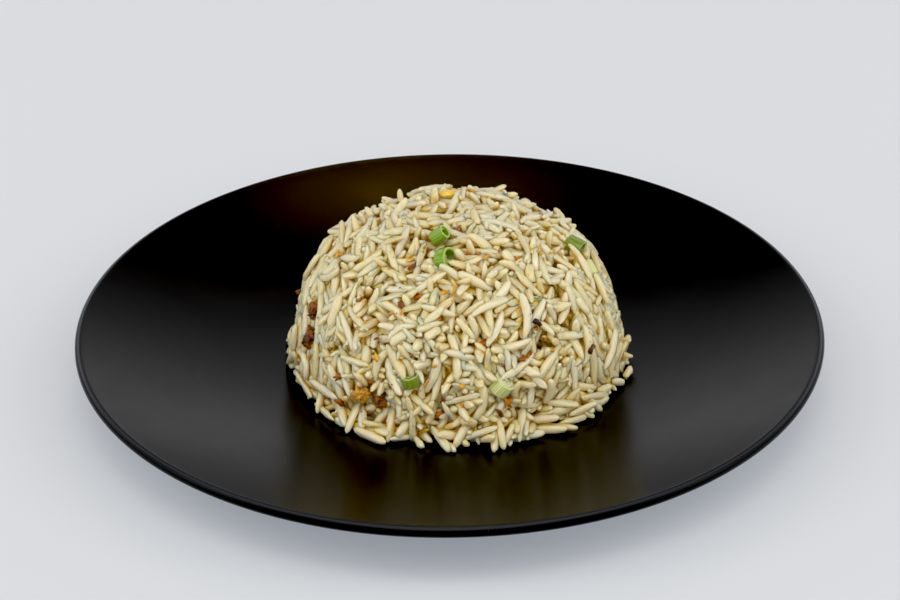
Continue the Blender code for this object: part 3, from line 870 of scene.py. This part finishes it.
core_finish, tree, shader = new_material("shaded_rice", Roughness=0.6)
place = add_node(tree, "ShaderNodeTexCoord").outputs["Object"]
mottle = add_node(tree, "ShaderNodeTexNoise", Vector=place, Scale=420.0, Detail=4.0).outputs["Fac"]
# painted shade: the core is coloured as rice in deep shade, dark brown to tan
tree.links.new(ramp(tree, mottle, (0.35, (0.50, 0.26, 0.015)), (0.65, (0.74, 0.48, 0.10))), shader.inputs["Base Color"])
core_mesh.materials.append(core_finish)
finish_piece(core, "rice", "rice_dome")
print("core:", len(core_mesh.polygons), "triangles")

# %% [markdown]
# Everything moist in the dish shares one quality: its gloss and its colour change in small, soft
# clouds, with a finer unevenness below. One node group holds that, and each finish sets its scale.

# %% A shared group for moist, uneven surfaces
def moist_group():
    group = bpy.data.node_groups.new("moist_mottle", "ShaderNodeTree")
    wires = group.interface
    wires.new_socket("Vector", in_out="INPUT", socket_type="NodeSocketVector")
    size = wires.new_socket("Scale", in_out="INPUT", socket_type="NodeSocketFloat")
    size.default_value = 500.0
    wires.new_socket("Clouds", in_out="OUTPUT", socket_type="NodeSocketFloat")
    wires.new_socket("Roughness", in_out="OUTPUT", socket_type="NodeSocketFloat")
    wires.new_socket("Height", in_out="OUTPUT", socket_type="NodeSocketFloat")
    given = add_node(group, "NodeGroupInput").outputs
    fine_scale = add_node(group, "ShaderNodeMath", {"operation": "MULTIPLY"}, i0=given["Scale"], i1=3.1)
    clouds = add_node(group, "ShaderNodeTexNoise", Vector=given["Vector"], Scale=given["Scale"], Detail=3.0)
    fine = add_node(group, "ShaderNodeTexNoise", Vector=given["Vector"], Scale=fine_scale, Detail=3.0,
                    Roughness=0.65)
    wide = add_node(group, "ShaderNodeMapRange", Value=clouds.outputs["Fac"], From_Min=0.32, From_Max=0.68)
    rough = add_node(group, "ShaderNodeMapRange", Value=fine.outputs["Fac"], From_Min=0.3, From_Max=0.7,
                     To_Min=0.16, To_Max=0.42)
    both = add_node(group, "ShaderNodeMix", i0=0.6, i2=clouds.outputs["Fac"], i3=fine.outputs["Fac"])
    add_node(group, "NodeGroupOutput", Clouds=wide, Roughness=rough, Height=both)
    return group


MOIST = moist_group()


def moist_finish(name, scale, dark, light, bump_mm, **sockets):
    """A moist food finish that runs between two colours in small clouds."""
    material, tree, shader = new_material(name, Specular_IOR_Level=0.25, **sockets)
    place = add_node(tree, "ShaderNodeTexCoord").outputs["Object"]
    moist = add_node(tree, "ShaderNodeGroup", {"node_tree": MOIST}, Vector=place, Scale=scale)
    colour = mix_colour(tree, moist.outputs["Clouds"], dark, light)
    tree.links.new(colour, shader.inputs["Base Color"])
    tree.links.new(moist.outputs["Roughness"], shader.inputs["Roughness"])
    bump = add_node(tree, "ShaderNodeBump", Height=moist.outputs["Height"], Strength=0.8, Distance=bump_mm * MM)
    tree.links.new(bump.outputs["Normal"], shader.inputs["Normal"])
    return material, tree, shader, colour


print("shared group:", MOIST.name)

# %% [markdown]
# A spring onion is a stack of tubes, one leaf inside the next. Cut across, a green part gives an open
# ring and a pale part gives rings in rings, ribbed outside by its veins. Each slice is built round
# its own bore, leaf by leaf, and then turned into the place that its solid holds. Every point
# keeps three numbers: how far round it lies, how deep in the stack, and whether it is on a cut face.

# %% Spring onion slices
# bore direction, outer radius, length and flattening; then each leaf's outer and inner radius as a
# share of the whole, the arc it covers in degrees, and how far its cut end stands out in mm
ONION_SLICES = {
    "spring_onion_1": ((0.80, -0.40, 0.40), 4.9, 3.8, 0.86, [(1.0, 0.76, (0, 360), 0.0), (0.70, 0.56, (150, 330), -0.3)]),
    "spring_onion_2": ((0.75, -0.13, 0.65), 2.9, 5.4, 0.92, [(1.0, 0.72, (0, 360), 0.0), (0.64, 0.40, (20, 250), -0.5)]),
    "spring_onion_3": ((0.80, -0.48, -0.24), 3.6, 6.0, 0.80, [(1.0, 0.72, (0, 360), 0.0), (0.62, 0.38, (60, 320), -0.4)]),
    "spring_onion_4": ((-0.20, 0.03, 0.96), 4.3, 3.8, 0.84, [(1.0, 0.74, (0, 360), 0.0), (0.66, 0.50, (200, 380), 0.2)]),
    "spring_onion_5": ((0.59, -0.06, 0.80), 4.5, 4.8, 0.90, [(1.0, 0.77, (0, 360), 0.0), (0.74, 0.50, (0, 360), 0.25),
                                                              (0.47, 0.24, (0, 360), 0.1), (0.20, 0.03, (0, 360), 0.3)]),
    "spring_onion_6": ((0.42, -0.62, -0.66), 2.6, 5.0, 0.85, [(1.0, 0.66, (0, 360), 0.0), (0.58, 0.30, (0, 360), 0.2)]),
}
RIBS = 15


def onion_slice(name, bore, radius, length, oval, leaves):
    low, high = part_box(name)
    middle_mm = 0.5 * (Vector(low) + Vector(high)) / MM
    spots, faces, around, layer, cut = [], [], [], [], []
    shift = 3.7 * len(name) + 10.0 * radius
    for order, (outer, inner, (start, stop), proud) in enumerate(leaves):
        whole = stop - start >= 360
        steps = 72 if whole else int(72 * (stop - start) / 360)
        rows = steps if whole else steps + 1
        half = 0.5 * length
        profile = [(inner, -half, 0), (inner, half, 0), (inner + 0.02, half + 0.08, 1), (outer - 0.02, half + 0.08, 1),
                   (outer, half, 0), (outer, 0.3 * half, 0), (outer, -0.3 * half, 0), (outer, -half, 0),
                   (outer - 0.02, -half - 0.08, 1), (inner + 0.02, -half - 0.08, 1)]
        first = len(spots)
        for i in range(rows):
            angle = radians(start + (stop - start) * i / steps)
            waver = noise.noise(Vector((cos(angle), sin(angle), shift + order)) * 1.5)
            rib = 0.09 * cos(RIBS * angle + order) + 0.05 * cos(2.6 * RIBS * angle)
            for share, level, is_cut in profile:
                grow = share * radius * (1.0 + 0.05 * waver) + (rib if share == outer and not is_cut else 0.0)
                end = level + (0.30 * waver + proud) * (1 if level > 0 else -1) * min(1.0, abs(level) / half)
                spots.append((grow * cos(angle), oval * grow * sin(angle), end))
                around.append(angle)
                layer.append(1.0 - share * (1.0 if share == outer else 0.999))
                cut.append(is_cut)
        size = len(profile)
        for i in range(steps):
            n = (i + 1) % rows if whole else i + 1
            for k in range(size):
                m = (k + 1) % size
                a, b = first + i * size, first + n * size
                faces.append((a + k, b + k, b + m, a + m))
        if not whole:
            faces.append([first + k for k in range(size)])
            faces.append([first + (rows - 1) * size + k for k in reversed(range(size))])
    turn = Vector(bore).to_track_quat("Z", "Y").to_matrix()
    placed = [(turn @ Vector(p) + middle_mm) * MM for p in spots]
    piece = mesh_object(name.replace("onion_", "onion_slice_"), placed, faces)
    for label, values in (("around", around), ("layer", layer), ("cut", cut)):
        point_attribute(piece, label, values)
    fit = bmesh.new()
    fit.from_mesh(piece.data)
    bmesh.ops.recalc_face_normals(fit, faces=fit.faces)
    fit.to_mesh(piece.data)
    fit.free()
    piece.data.set_sharp_from_angle(angle=radians(50.0))
    return piece


def onion_finish(name, outside, stripe, inside, rim, core, gloss):
    """Leaf colours: the skin and its vein stripes, the leaf's inner side, the cut face, the heart."""
    material, tree, shader, _ = moist_finish(name, 450.0, outside, inside, 0.05, Subsurface_Weight=0.4,
                                             Subsurface_Scale=0.0012, Coat_Weight=gloss, Coat_Roughness=0.15)
    shader.inputs["Subsurface Radius"].default_value = (0.7, 1.0, 0.3)
    round_it = add_node(tree, "ShaderNodeAttribute", {"attribute_name": "around"}).outputs["Fac"]
    depth = add_node(tree, "ShaderNodeAttribute", {"attribute_name": "layer"}).outputs["Fac"]
    face = add_node(tree, "ShaderNodeAttribute", {"attribute_name": "cut"}).outputs["Fac"]
    place = add_node(tree, "ShaderNodeTexCoord").outputs["Object"]
    clouds = add_node(tree, "ShaderNodeGroup", {"node_tree": MOIST}, Vector=place, Scale=330.0)
    turns = add_node(tree, "ShaderNodeMath", {"operation": "MULTIPLY"}, i0=round_it, i1=float(2 * RIBS))
    waves = add_node(tree, "ShaderNodeMath", {"operation": "SINE"}, i0=turns)
    vein = add_node(tree, "ShaderNodeMapRange", Value=waves, From_Min=-0.2, From_Max=0.9)
    skin = mix_colour(tree, vein, outside, stripe)
    skin = mix_colour(tree, add_node(tree, "ShaderNodeMath", {"operation": "MULTIPLY"},
                                     i0=clouds.outputs["Clouds"], i1=0.35), skin, inside)
    deep_leaf = add_node(tree, "ShaderNodeMapRange", Value=depth, From_Min=0.05, From_Max=0.45)
    leaf = mix_colour(tree, deep_leaf, skin, inside)
    heart = add_node(tree, "ShaderNodeMapRange", Value=depth, From_Min=0.72, From_Max=0.9)
    edge = mix_colour(tree, heart, rim, core)
    tree.links.new(mix_colour(tree, face, leaf, edge), shader.inputs["Base Color"])
    return material


ONION_FINISHES = {
    "fresh_green_leaf": onion_finish("fresh_green_leaf", (0.15, 0.30, 0.012), (0.25, 0.42, 0.035), (0.19, 0.29, 0.012),
                                     (0.40, 0.56, 0.09), (0.26, 0.44, 0.01), 0.5),
    "olive_leaf": onion_finish("olive_leaf", (0.15, 0.22, 0.012), (0.22, 0.30, 0.03), (0.24, 0.27, 0.04),
                               (0.42, 0.50, 0.14), (0.25, 0.38, 0.02), 0.5),
    "pale_stem": onion_finish("pale_stem", (0.70, 0.72, 0.34), (0.46, 0.56, 0.12), (0.70, 0.72, 0.40),
                              (0.72, 0.75, 0.42), (0.36, 0.52, 0.03), 0.5),
}
FINISH_OF_SLICE = {"spring_onion_1": "fresh_green_leaf", "spring_onion_2": "fresh_green_leaf",
                   "spring_onion_3": "olive_leaf", "spring_onion_4": "olive_leaf",
                   "spring_onion_5": "pale_stem", "spring_onion_6": "pale_stem"}
for name, (bore, radius, length_mm, oval, leaves) in ONION_SLICES.items():
    piece = onion_slice(name, bore, radius, length_mm, oval, leaves)
    piece.data.materials.append(ONION_FINISHES[FINISH_OF_SLICE[name]])
    finish_piece(piece, "onion_pale" if FINISH_OF_SLICE[name] == "pale_stem" else "onion_green", name)
print("slices:", ", ".join(ONION_SLICES))

# %% [markdown]
# Browned shallot dries into knobbly, glossy lumps, nearly black where it caught and orange where
# it is thin. Egg sets in soft, folded curds. Both start from their solids: a merged copy is divided
# finely, smoothed and then roughened along its normals by noise of two sizes.

# %% Browned shallot and egg
def roughened_copy(name, label, coarse_mm, fine_mm, size_mm, levels):
    source = frame["nodes"][name]
    shape = bmesh.new()
    shape.from_mesh(source.data)
    bmesh.ops.remove_doubles(shape, verts=shape.verts, dist=1e-6)
    for _ in range(levels):
        bmesh.ops.subdivide_edges(shape, edges=shape.edges, cuts=1, use_grid_fill=True)
        for _ in range(2):
            bmesh.ops.smooth_vert(shape, verts=shape.verts, factor=0.5, use_axis_x=True, use_axis_y=True,
                                  use_axis_z=True)
    shape.normal_update()
    for vertex in shape.verts:
        spot = vertex.co / MM
        folds = 0.75 - 2.6 * abs(noise.noise(spot / size_mm))
        grit = noise.noise(spot / (0.35 * size_mm))
        lobes = noise.noise(spot / (2.4 * size_mm))
        vertex.co = vertex.co + vertex.normal * (coarse_mm * (folds + 1.6 * lobes) + fine_mm * grit) * MM
    mesh = bpy.data.meshes.new(label)
    shape.to_mesh(mesh)
    shape.free()
    mesh.shade_smooth()
    piece = bpy.data.objects.new(label, mesh)
    bpy.context.scene.collection.objects.link(piece)
    return piece


burnt, tree, shader, _ = moist_finish("browned_shallot", 300.0, (0.014, 0.002, 0.001), (0.42, 0.12, 0.006), 0.3,
                                      Subsurface_Weight=0.2, Subsurface_Scale=0.0008, Coat_Weight=0.3,
                                      Coat_Roughness=0.15)
golden, tree, shader, _ = moist_finish("golden_crust", 380.0, (0.34, 0.12, 0.008), (0.72, 0.40, 0.05), 0.25,
                                       Subsurface_Weight=0.3, Subsurface_Scale=0.001, Coat_Weight=0.35,
                                       Coat_Roughness=0.15)
toasted, tree, shader, _ = moist_finish("toasted_crumb", 420.0, (0.20, 0.035, 0.002), (0.66, 0.26, 0.015), 0.15,
                                        Subsurface_Weight=0.4, Subsurface_Scale=0.001)
amber, tree, shader, _ = moist_finish("amber_crumb", 380.0, (0.52, 0.22, 0.012), (0.86, 0.52, 0.07), 0.15,
                                      Subsurface_Weight=0.5, Subsurface_Scale=0.0015)
curd, tree, shader, _ = moist_finish("scrambled_egg", 300.0, (0.80, 0.48, 0.03), (0.90, 0.70, 0.13), 0.1,
                                     Subsurface_Weight=0.4, Subsurface_Scale=0.0015, Coat_Weight=0.4,
                                     Coat_Roughness=0.2)
for name, finish in (("browned_shallot_1", burnt), ("browned_shallot_2", burnt), ("browned_shallot_3", burnt),
                     ("browned_shallot_4", golden)):
    rough = (1.0, 0.5, 0.95) if finish == golden else (0.75, 0.35, 1.25)
    piece = roughened_copy(name, name.replace("browned_shallot", "browned_shallot_lump"), *rough, 3)
    piece.data.materials.append(finish)
    finish_piece(piece, "browned_bits", name)
piece = roughened_copy("egg_piece_1", "egg_curd_1", 0.25, 0.08, 1.6, 2)
piece.data.materials.append(curd)
finish_piece(piece, "egg", "egg_piece_1")
print("faces in the last lump:", len(piece.data.polygons))

# %% [markdown]
# The smallest things lie where they fell: crumbs in the gaps between grains, pepper on top of them.
# To find those places, rays are shot at the heap from outside. The points where they land, with the
# way the surface faces there, are sorted by depth, so each kind can take the gaps or the crests.

# %% Places on the heap's surface
from mathutils.bvhtree import BVHTree

heap_points, heap_faces = [], []
for piece in [o for o in bpy.data.objects if o.name == "rice_core" or o.name.endswith("_grains")]:
    base = len(heap_points)
    heap_points.extend(v.co for v in piece.data.vertices)
    heap_faces.extend([base + k for k in f.vertices] for f in piece.data.polygons)
heap = BVHTree.FromPolygons(heap_points, heap_faces)


def mark_cover(piece):
    """Each point keeps how much other grains cover it: the share of short rays outwards that hit one. The rice's
    painted shade follows it.
    """
    spots = np.empty(3 * len(piece.data.vertices))
    piece.data.vertices.foreach_get("co", spots)
    spots = spots.reshape(-1, 3)
    normals = np.empty(3 * len(piece.data.vertices))
    piece.data.vertices.foreach_get("normal", normals)
    starts = spots + normals.reshape(-1, 3) * 0.00012
    _, way = outline(spots / MM - DOME_MIDDLE)
    across = unit(np.cross(way, (0.3, 0.2, 1.0)))
    other = np.cross(way, across)
    hits = np.zeros(len(spots))
    for lean_one, lean_two in ((0.0, 0.0), (0.8, 0.0), (-0.4, 0.7), (-0.4, -0.7)):
        rays = unit(way + lean_one * across + lean_two * other)
        hits += [heap.ray_cast(start, ray, 0.005)[0] is not None for start, ray in zip(starts.tolist(), rays.tolist())]
    point_attribute(piece, "covered", hits / 4.0)


for piece in [o for o in bpy.data.objects if o.name.startswith("rice_") and o.name.endswith("_grains")]:
    mark_cover(piece)


def landing(azimuth, height_angle):
    """Where a ray towards the heap's foot lands; azimuth from the front towards +X, in degrees."""
    a, e = radians(azimuth), radians(height_angle)
    way = Vector((sin(a) * cos(e), -cos(a) * cos(e), sin(e)))
    hit, normal, _, _ = heap.ray_cast((Vector(DOME_MIDDLE) * MM) + way * 0.12, -way)
    if normal is not None and normal.dot(way) < 0.0:
        normal = -normal
    return hit, normal, way


def many_landings(number, lowest=4.0):
    """Spots spread evenly over the heap, each with its normal, the way out and its depth in mm."""
    found = []
    while len(found) < number:
        height_angle = degrees(np.arcsin(random.uniform(sin(radians(lowest)), 1.0)))
        hit, normal, way = landing(random.uniform(0.0, 360.0), height_angle)
        if hit is not None:
            depth, _ = outline(np.array([hit]) / MM - DOME_MIDDLE)
            found.append((np.array(hit), np.array(normal), np.array(way), float(-depth[0])))
    return found


spots = many_landings(3200)
depths = np.array([spot[3] for spot in spots])
print("depth of the surface under the mould, mm: middle", round(float(np.median(depths)), 1),
      "deepest", round(float(depths.max()), 1))

# %% Crumbs, shreds and pepper
def crumb_shape(name, seed, rough, stretch, subdivisions=2):
    shape = bmesh.new()
    bmesh.ops.create_icosphere(shape, subdivisions=subdivisions, radius=1.0)
    for vertex in shape.verts:
        push = 1.0 + rough * noise.noise(vertex.co * 2.1 + Vector((seed, seed, 0.0)))
        vertex.co = Vector((vertex.co.x * stretch[0], vertex.co.y * stretch[1], vertex.co.z * stretch[2])) * push
    mesh = bpy.data.meshes.new(name)
    shape.to_mesh(mesh)
    shape.free()
    mesh.shade_smooth()
    thing = bpy.data.objects.new(name, mesh)
    bpy.context.scene.collection.objects.link(thing)
    return thing


def shred_shape(name, bow, twist, taper):
    """A thin curled strip, two units long: a fried shred of shallot or a sliver of leaf."""
    places, faces = [], []
    for i in range(9):
        x = -1.0 + 0.25 * i
        half = (1.0 - taper * abs(x) ** 3) * 0.5
        lift, lean = bow * (1.0 - x * x), twist * x
        for y, z in ((-half, -0.12), (half, -0.12), (half, 0.12), (-half, 0.12)):
            places.append((x, y * cos(lean) - z * sin(lean), y * sin(lean) + z * cos(lean) + lift))
        if i:
            for k in range(4):
                n = (k + 1) % 4
                faces.append((4 * i - 4 + k, 4 * i - 4 + n, 4 * i + n, 4 * i + k))
    faces.append((3, 2, 1, 0))
    faces.append((32, 33, 34, 35))
    return mesh_object(name, places, faces)


CRUMBS = shape_collection("crumb_shapes", [crumb_shape("crumb_a", 3.0, 1.3, (1.1, 0.7, 0.45)),
                                           crumb_shape("crumb_b", 9.0, 1.5, (1.2, 0.55, 0.5)),
                                           crumb_shape("crumb_c", 17.0, 1.4, (1.0, 0.85, 0.4)),
                                           crumb_shape("crumb_d", 29.0, 1.2, (1.3, 0.5, 0.4))])
SPECKS = shape_collection("speck_shapes", [crumb_shape("speck_a", 5.0, 0.9, (1.0, 0.8, 0.6), 1),
                                           crumb_shape("speck_b", 13.0, 0.9, (1.0, 0.7, 0.8), 1)])
SHREDS = shape_collection("shred_shapes", [shred_shape("shred_a", 0.25, 0.4, 0.5), shred_shape("shred_b", 0.5, -0.6, 0.8),
                                           shred_shape("shred_c", 0.12, 0.9, 0.3)])


def sprinkle(name, chosen, sizes_mm, sink, shapes, material, seed, slot=None, lay=None):
    """Copies of shapes at chosen spots, sunk by a share of their size and turned at random."""
    normals = np.array([spot[1] for spot in chosen])
    lying = unit(np.cross(normals, random.normal(0.0, 1.0, (len(chosen), 3))))
    if lay is not None:
        lying = unit(lay)
    sizes_mm = np.asarray(sizes_mm)
    heights = 0.5 * sizes_mm[:, 2] * MM
    places = np.array([spot[0] for spot in chosen]) + normals * (heights * (1.0 - 2.0 * sink))[:, None]
    turns = turns_of(lying, normals, random.normal(0.0, 0.3, len(chosen)))
    piece = scatter(name, places, turns, 0.5 * sizes_mm * MM, random.integers(0, 1000, len(chosen))
                    % len(shapes.objects), shapes, material, seed)
    if slot:
        finish_piece(piece, slot)
    else:
        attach(piece, "root")
    return piece


def take(candidates, number):
    """Some of the spots that pass a test, at random."""
    index = random.permutation(candidates)[:number]
    return [spots[k] for k in index]


def crumb_sizes(number, smallest, largest):
    size = smallest + (largest - smallest) * random.uniform(0.0, 1.0, number) ** 2
    return np.stack((size, size, size), axis=1)


gaps = np.nonzero(depths > np.percentile(depths, 72.0))[0]
slopes = np.nonzero((depths > np.percentile(depths, 35.0)) & (depths < np.percentile(depths, 80.0)))[0]
crests = np.nonzero(depths < np.percentile(depths, 60.0))[0]
sprinkle("golden_crumbs", take(slopes, 150), crumb_sizes(150, 1.0, 3.0), 0.35, CRUMBS, amber, 41, "browned_bits")
sprinkle("browned_crumbs", take(gaps, 90), crumb_sizes(90, 1.3, 4.0), 0.4, CRUMBS, toasted, 42, "browned_bits")
sprinkle("golden_specks", take(crests, 260), crumb_sizes(260, 0.35, 0.9), 0.45, SPECKS, amber, 43, "browned_bits")
pepper, tree, shader, _ = moist_finish("black_pepper", 900.0, (0.006, 0.004, 0.003), (0.05, 0.03, 0.015), 0.05)
sprinkle("pepper_specks", take(crests, 240), crumb_sizes(240, 0.3, 0.75), 0.4, SPECKS, pepper, 44)

# %% [markdown]
# Some loose pieces are larger than a crumb and have a place of their own: curls and strips of fried
# shallot, slivers of onion leaf and a few dark lumps. Each row gives where it lies on the heap, its
# size and how far it is turned from level.

# %% Strips, slivers and lumps with a place of their own
# azimuth from the front and height angle in degrees; length, width, thickness in mm; turn in degrees
FRIED_STRIPS = [(-1.5, 52.0, 8.0, 2.0, 1.6, 80.0), (27.0, 66.0, 5.5, 2.2, 1.8, 10.0), (-12.5, 3.0, 6.5, 2.8, 1.5, 25.0),
                (-11.0, 21.0, 5.0, 2.2, 1.5, 60.0), (62.0, 58.0, 6.0, 1.0, 1.0, 20.0), (-58.0, 6.0, 5.0, 1.8, 1.4, 70.0),
                (-64.0, 14.0, 5.0, 1.8, 1.3, 75.0), (88.0, 30.0, 5.0, 1.6, 1.3, 40.0), (150.0, 40.0, 7.0, 2.0, 1.5, 30.0),
                (205.0, 25.0, 6.0, 2.2, 1.5, 70.0), (-120.0, 35.0, 6.5, 2.0, 1.4, 15.0), (250.0, 55.0, 5.5, 1.8, 1.3, 50.0)]
LEAF_SLIVERS = [(38.0, 43.0, 6.5, 2.0, 1.3, -35.0), (-60.0, 66.0, 4.5, 1.8, 1.6, 60.0), (-71.0, 48.0, 4.5, 2.6, 2.0, 20.0),
                (170.0, 30.0, 6.0, 2.2, 1.5, 15.0), (-150.0, 50.0, 5.0, 2.4, 1.5, 70.0), (118.0, 22.0, 5.5, 2.0, 1.4, -30.0)]
DARK_LUMPS = [(-4.0, 83.0, 3.6), (-27.0, 45.0, 3.4), (-44.0, 16.0, 3.2), (-78.0, 44.0, 3.6), (33.0, 37.0, 2.8),
              (24.0, 27.0, 3.0), (14.0, 10.0, 3.4), (-42.0, 8.0, 3.2), (72.0, 46.0, 3.0), (-30.0, 60.0, 3.2),
              (51.0, 22.0, 2.8), (6.0, 34.0, 2.8), (130.0, 30.0, 3.4), (185.0, 45.0, 3.4), (225.0, 20.0, 3.0),
              (-100.0, 20.0, 3.4), (-135.0, 60.0, 3.0)]


def own_places(rows):
    chosen, ways = [], []
    for row in rows:
        hit, normal, way = landing(row[0], row[1])
        chosen.append((np.array(hit), np.array(normal), np.array(way), 0.0))
        level = np.cross([0.0, 0.0, 1.0], way)
        level = level / np.linalg.norm(level)
        if len(row) > 5:
            ways.append(level * cos(radians(row[5])) + np.cross(way, level) * sin(radians(row[5])))
    return chosen, np.array(ways)


chosen, ways = own_places(FRIED_STRIPS)
sprinkle("fried_shallot_strips", chosen, [row[2:5] for row in FRIED_STRIPS], 0.1, SHREDS, amber, 51, "browned_bits", ways)
chosen, ways = own_places(LEAF_SLIVERS)
sprinkle("onion_leaf_slivers", chosen, [row[2:5] for row in LEAF_SLIVERS], 0.1, SHREDS, ONION_FINISHES["olive_leaf"], 52,
         "onion_green", ways)
chosen, ways = own_places(DARK_LUMPS)
sprinkle("browned_lumps", chosen, [(row[2],) * 3 for row in DARK_LUMPS], 0.25, CRUMBS, burnt, 53, "browned_bits")

# %% Last of all: clear up
for group in SHAPES + [CRUMBS, SPECKS, SHREDS]:
    for thing in list(group.objects):
        bpy.data.objects.remove(thing)
    bpy.data.collections.remove(group)
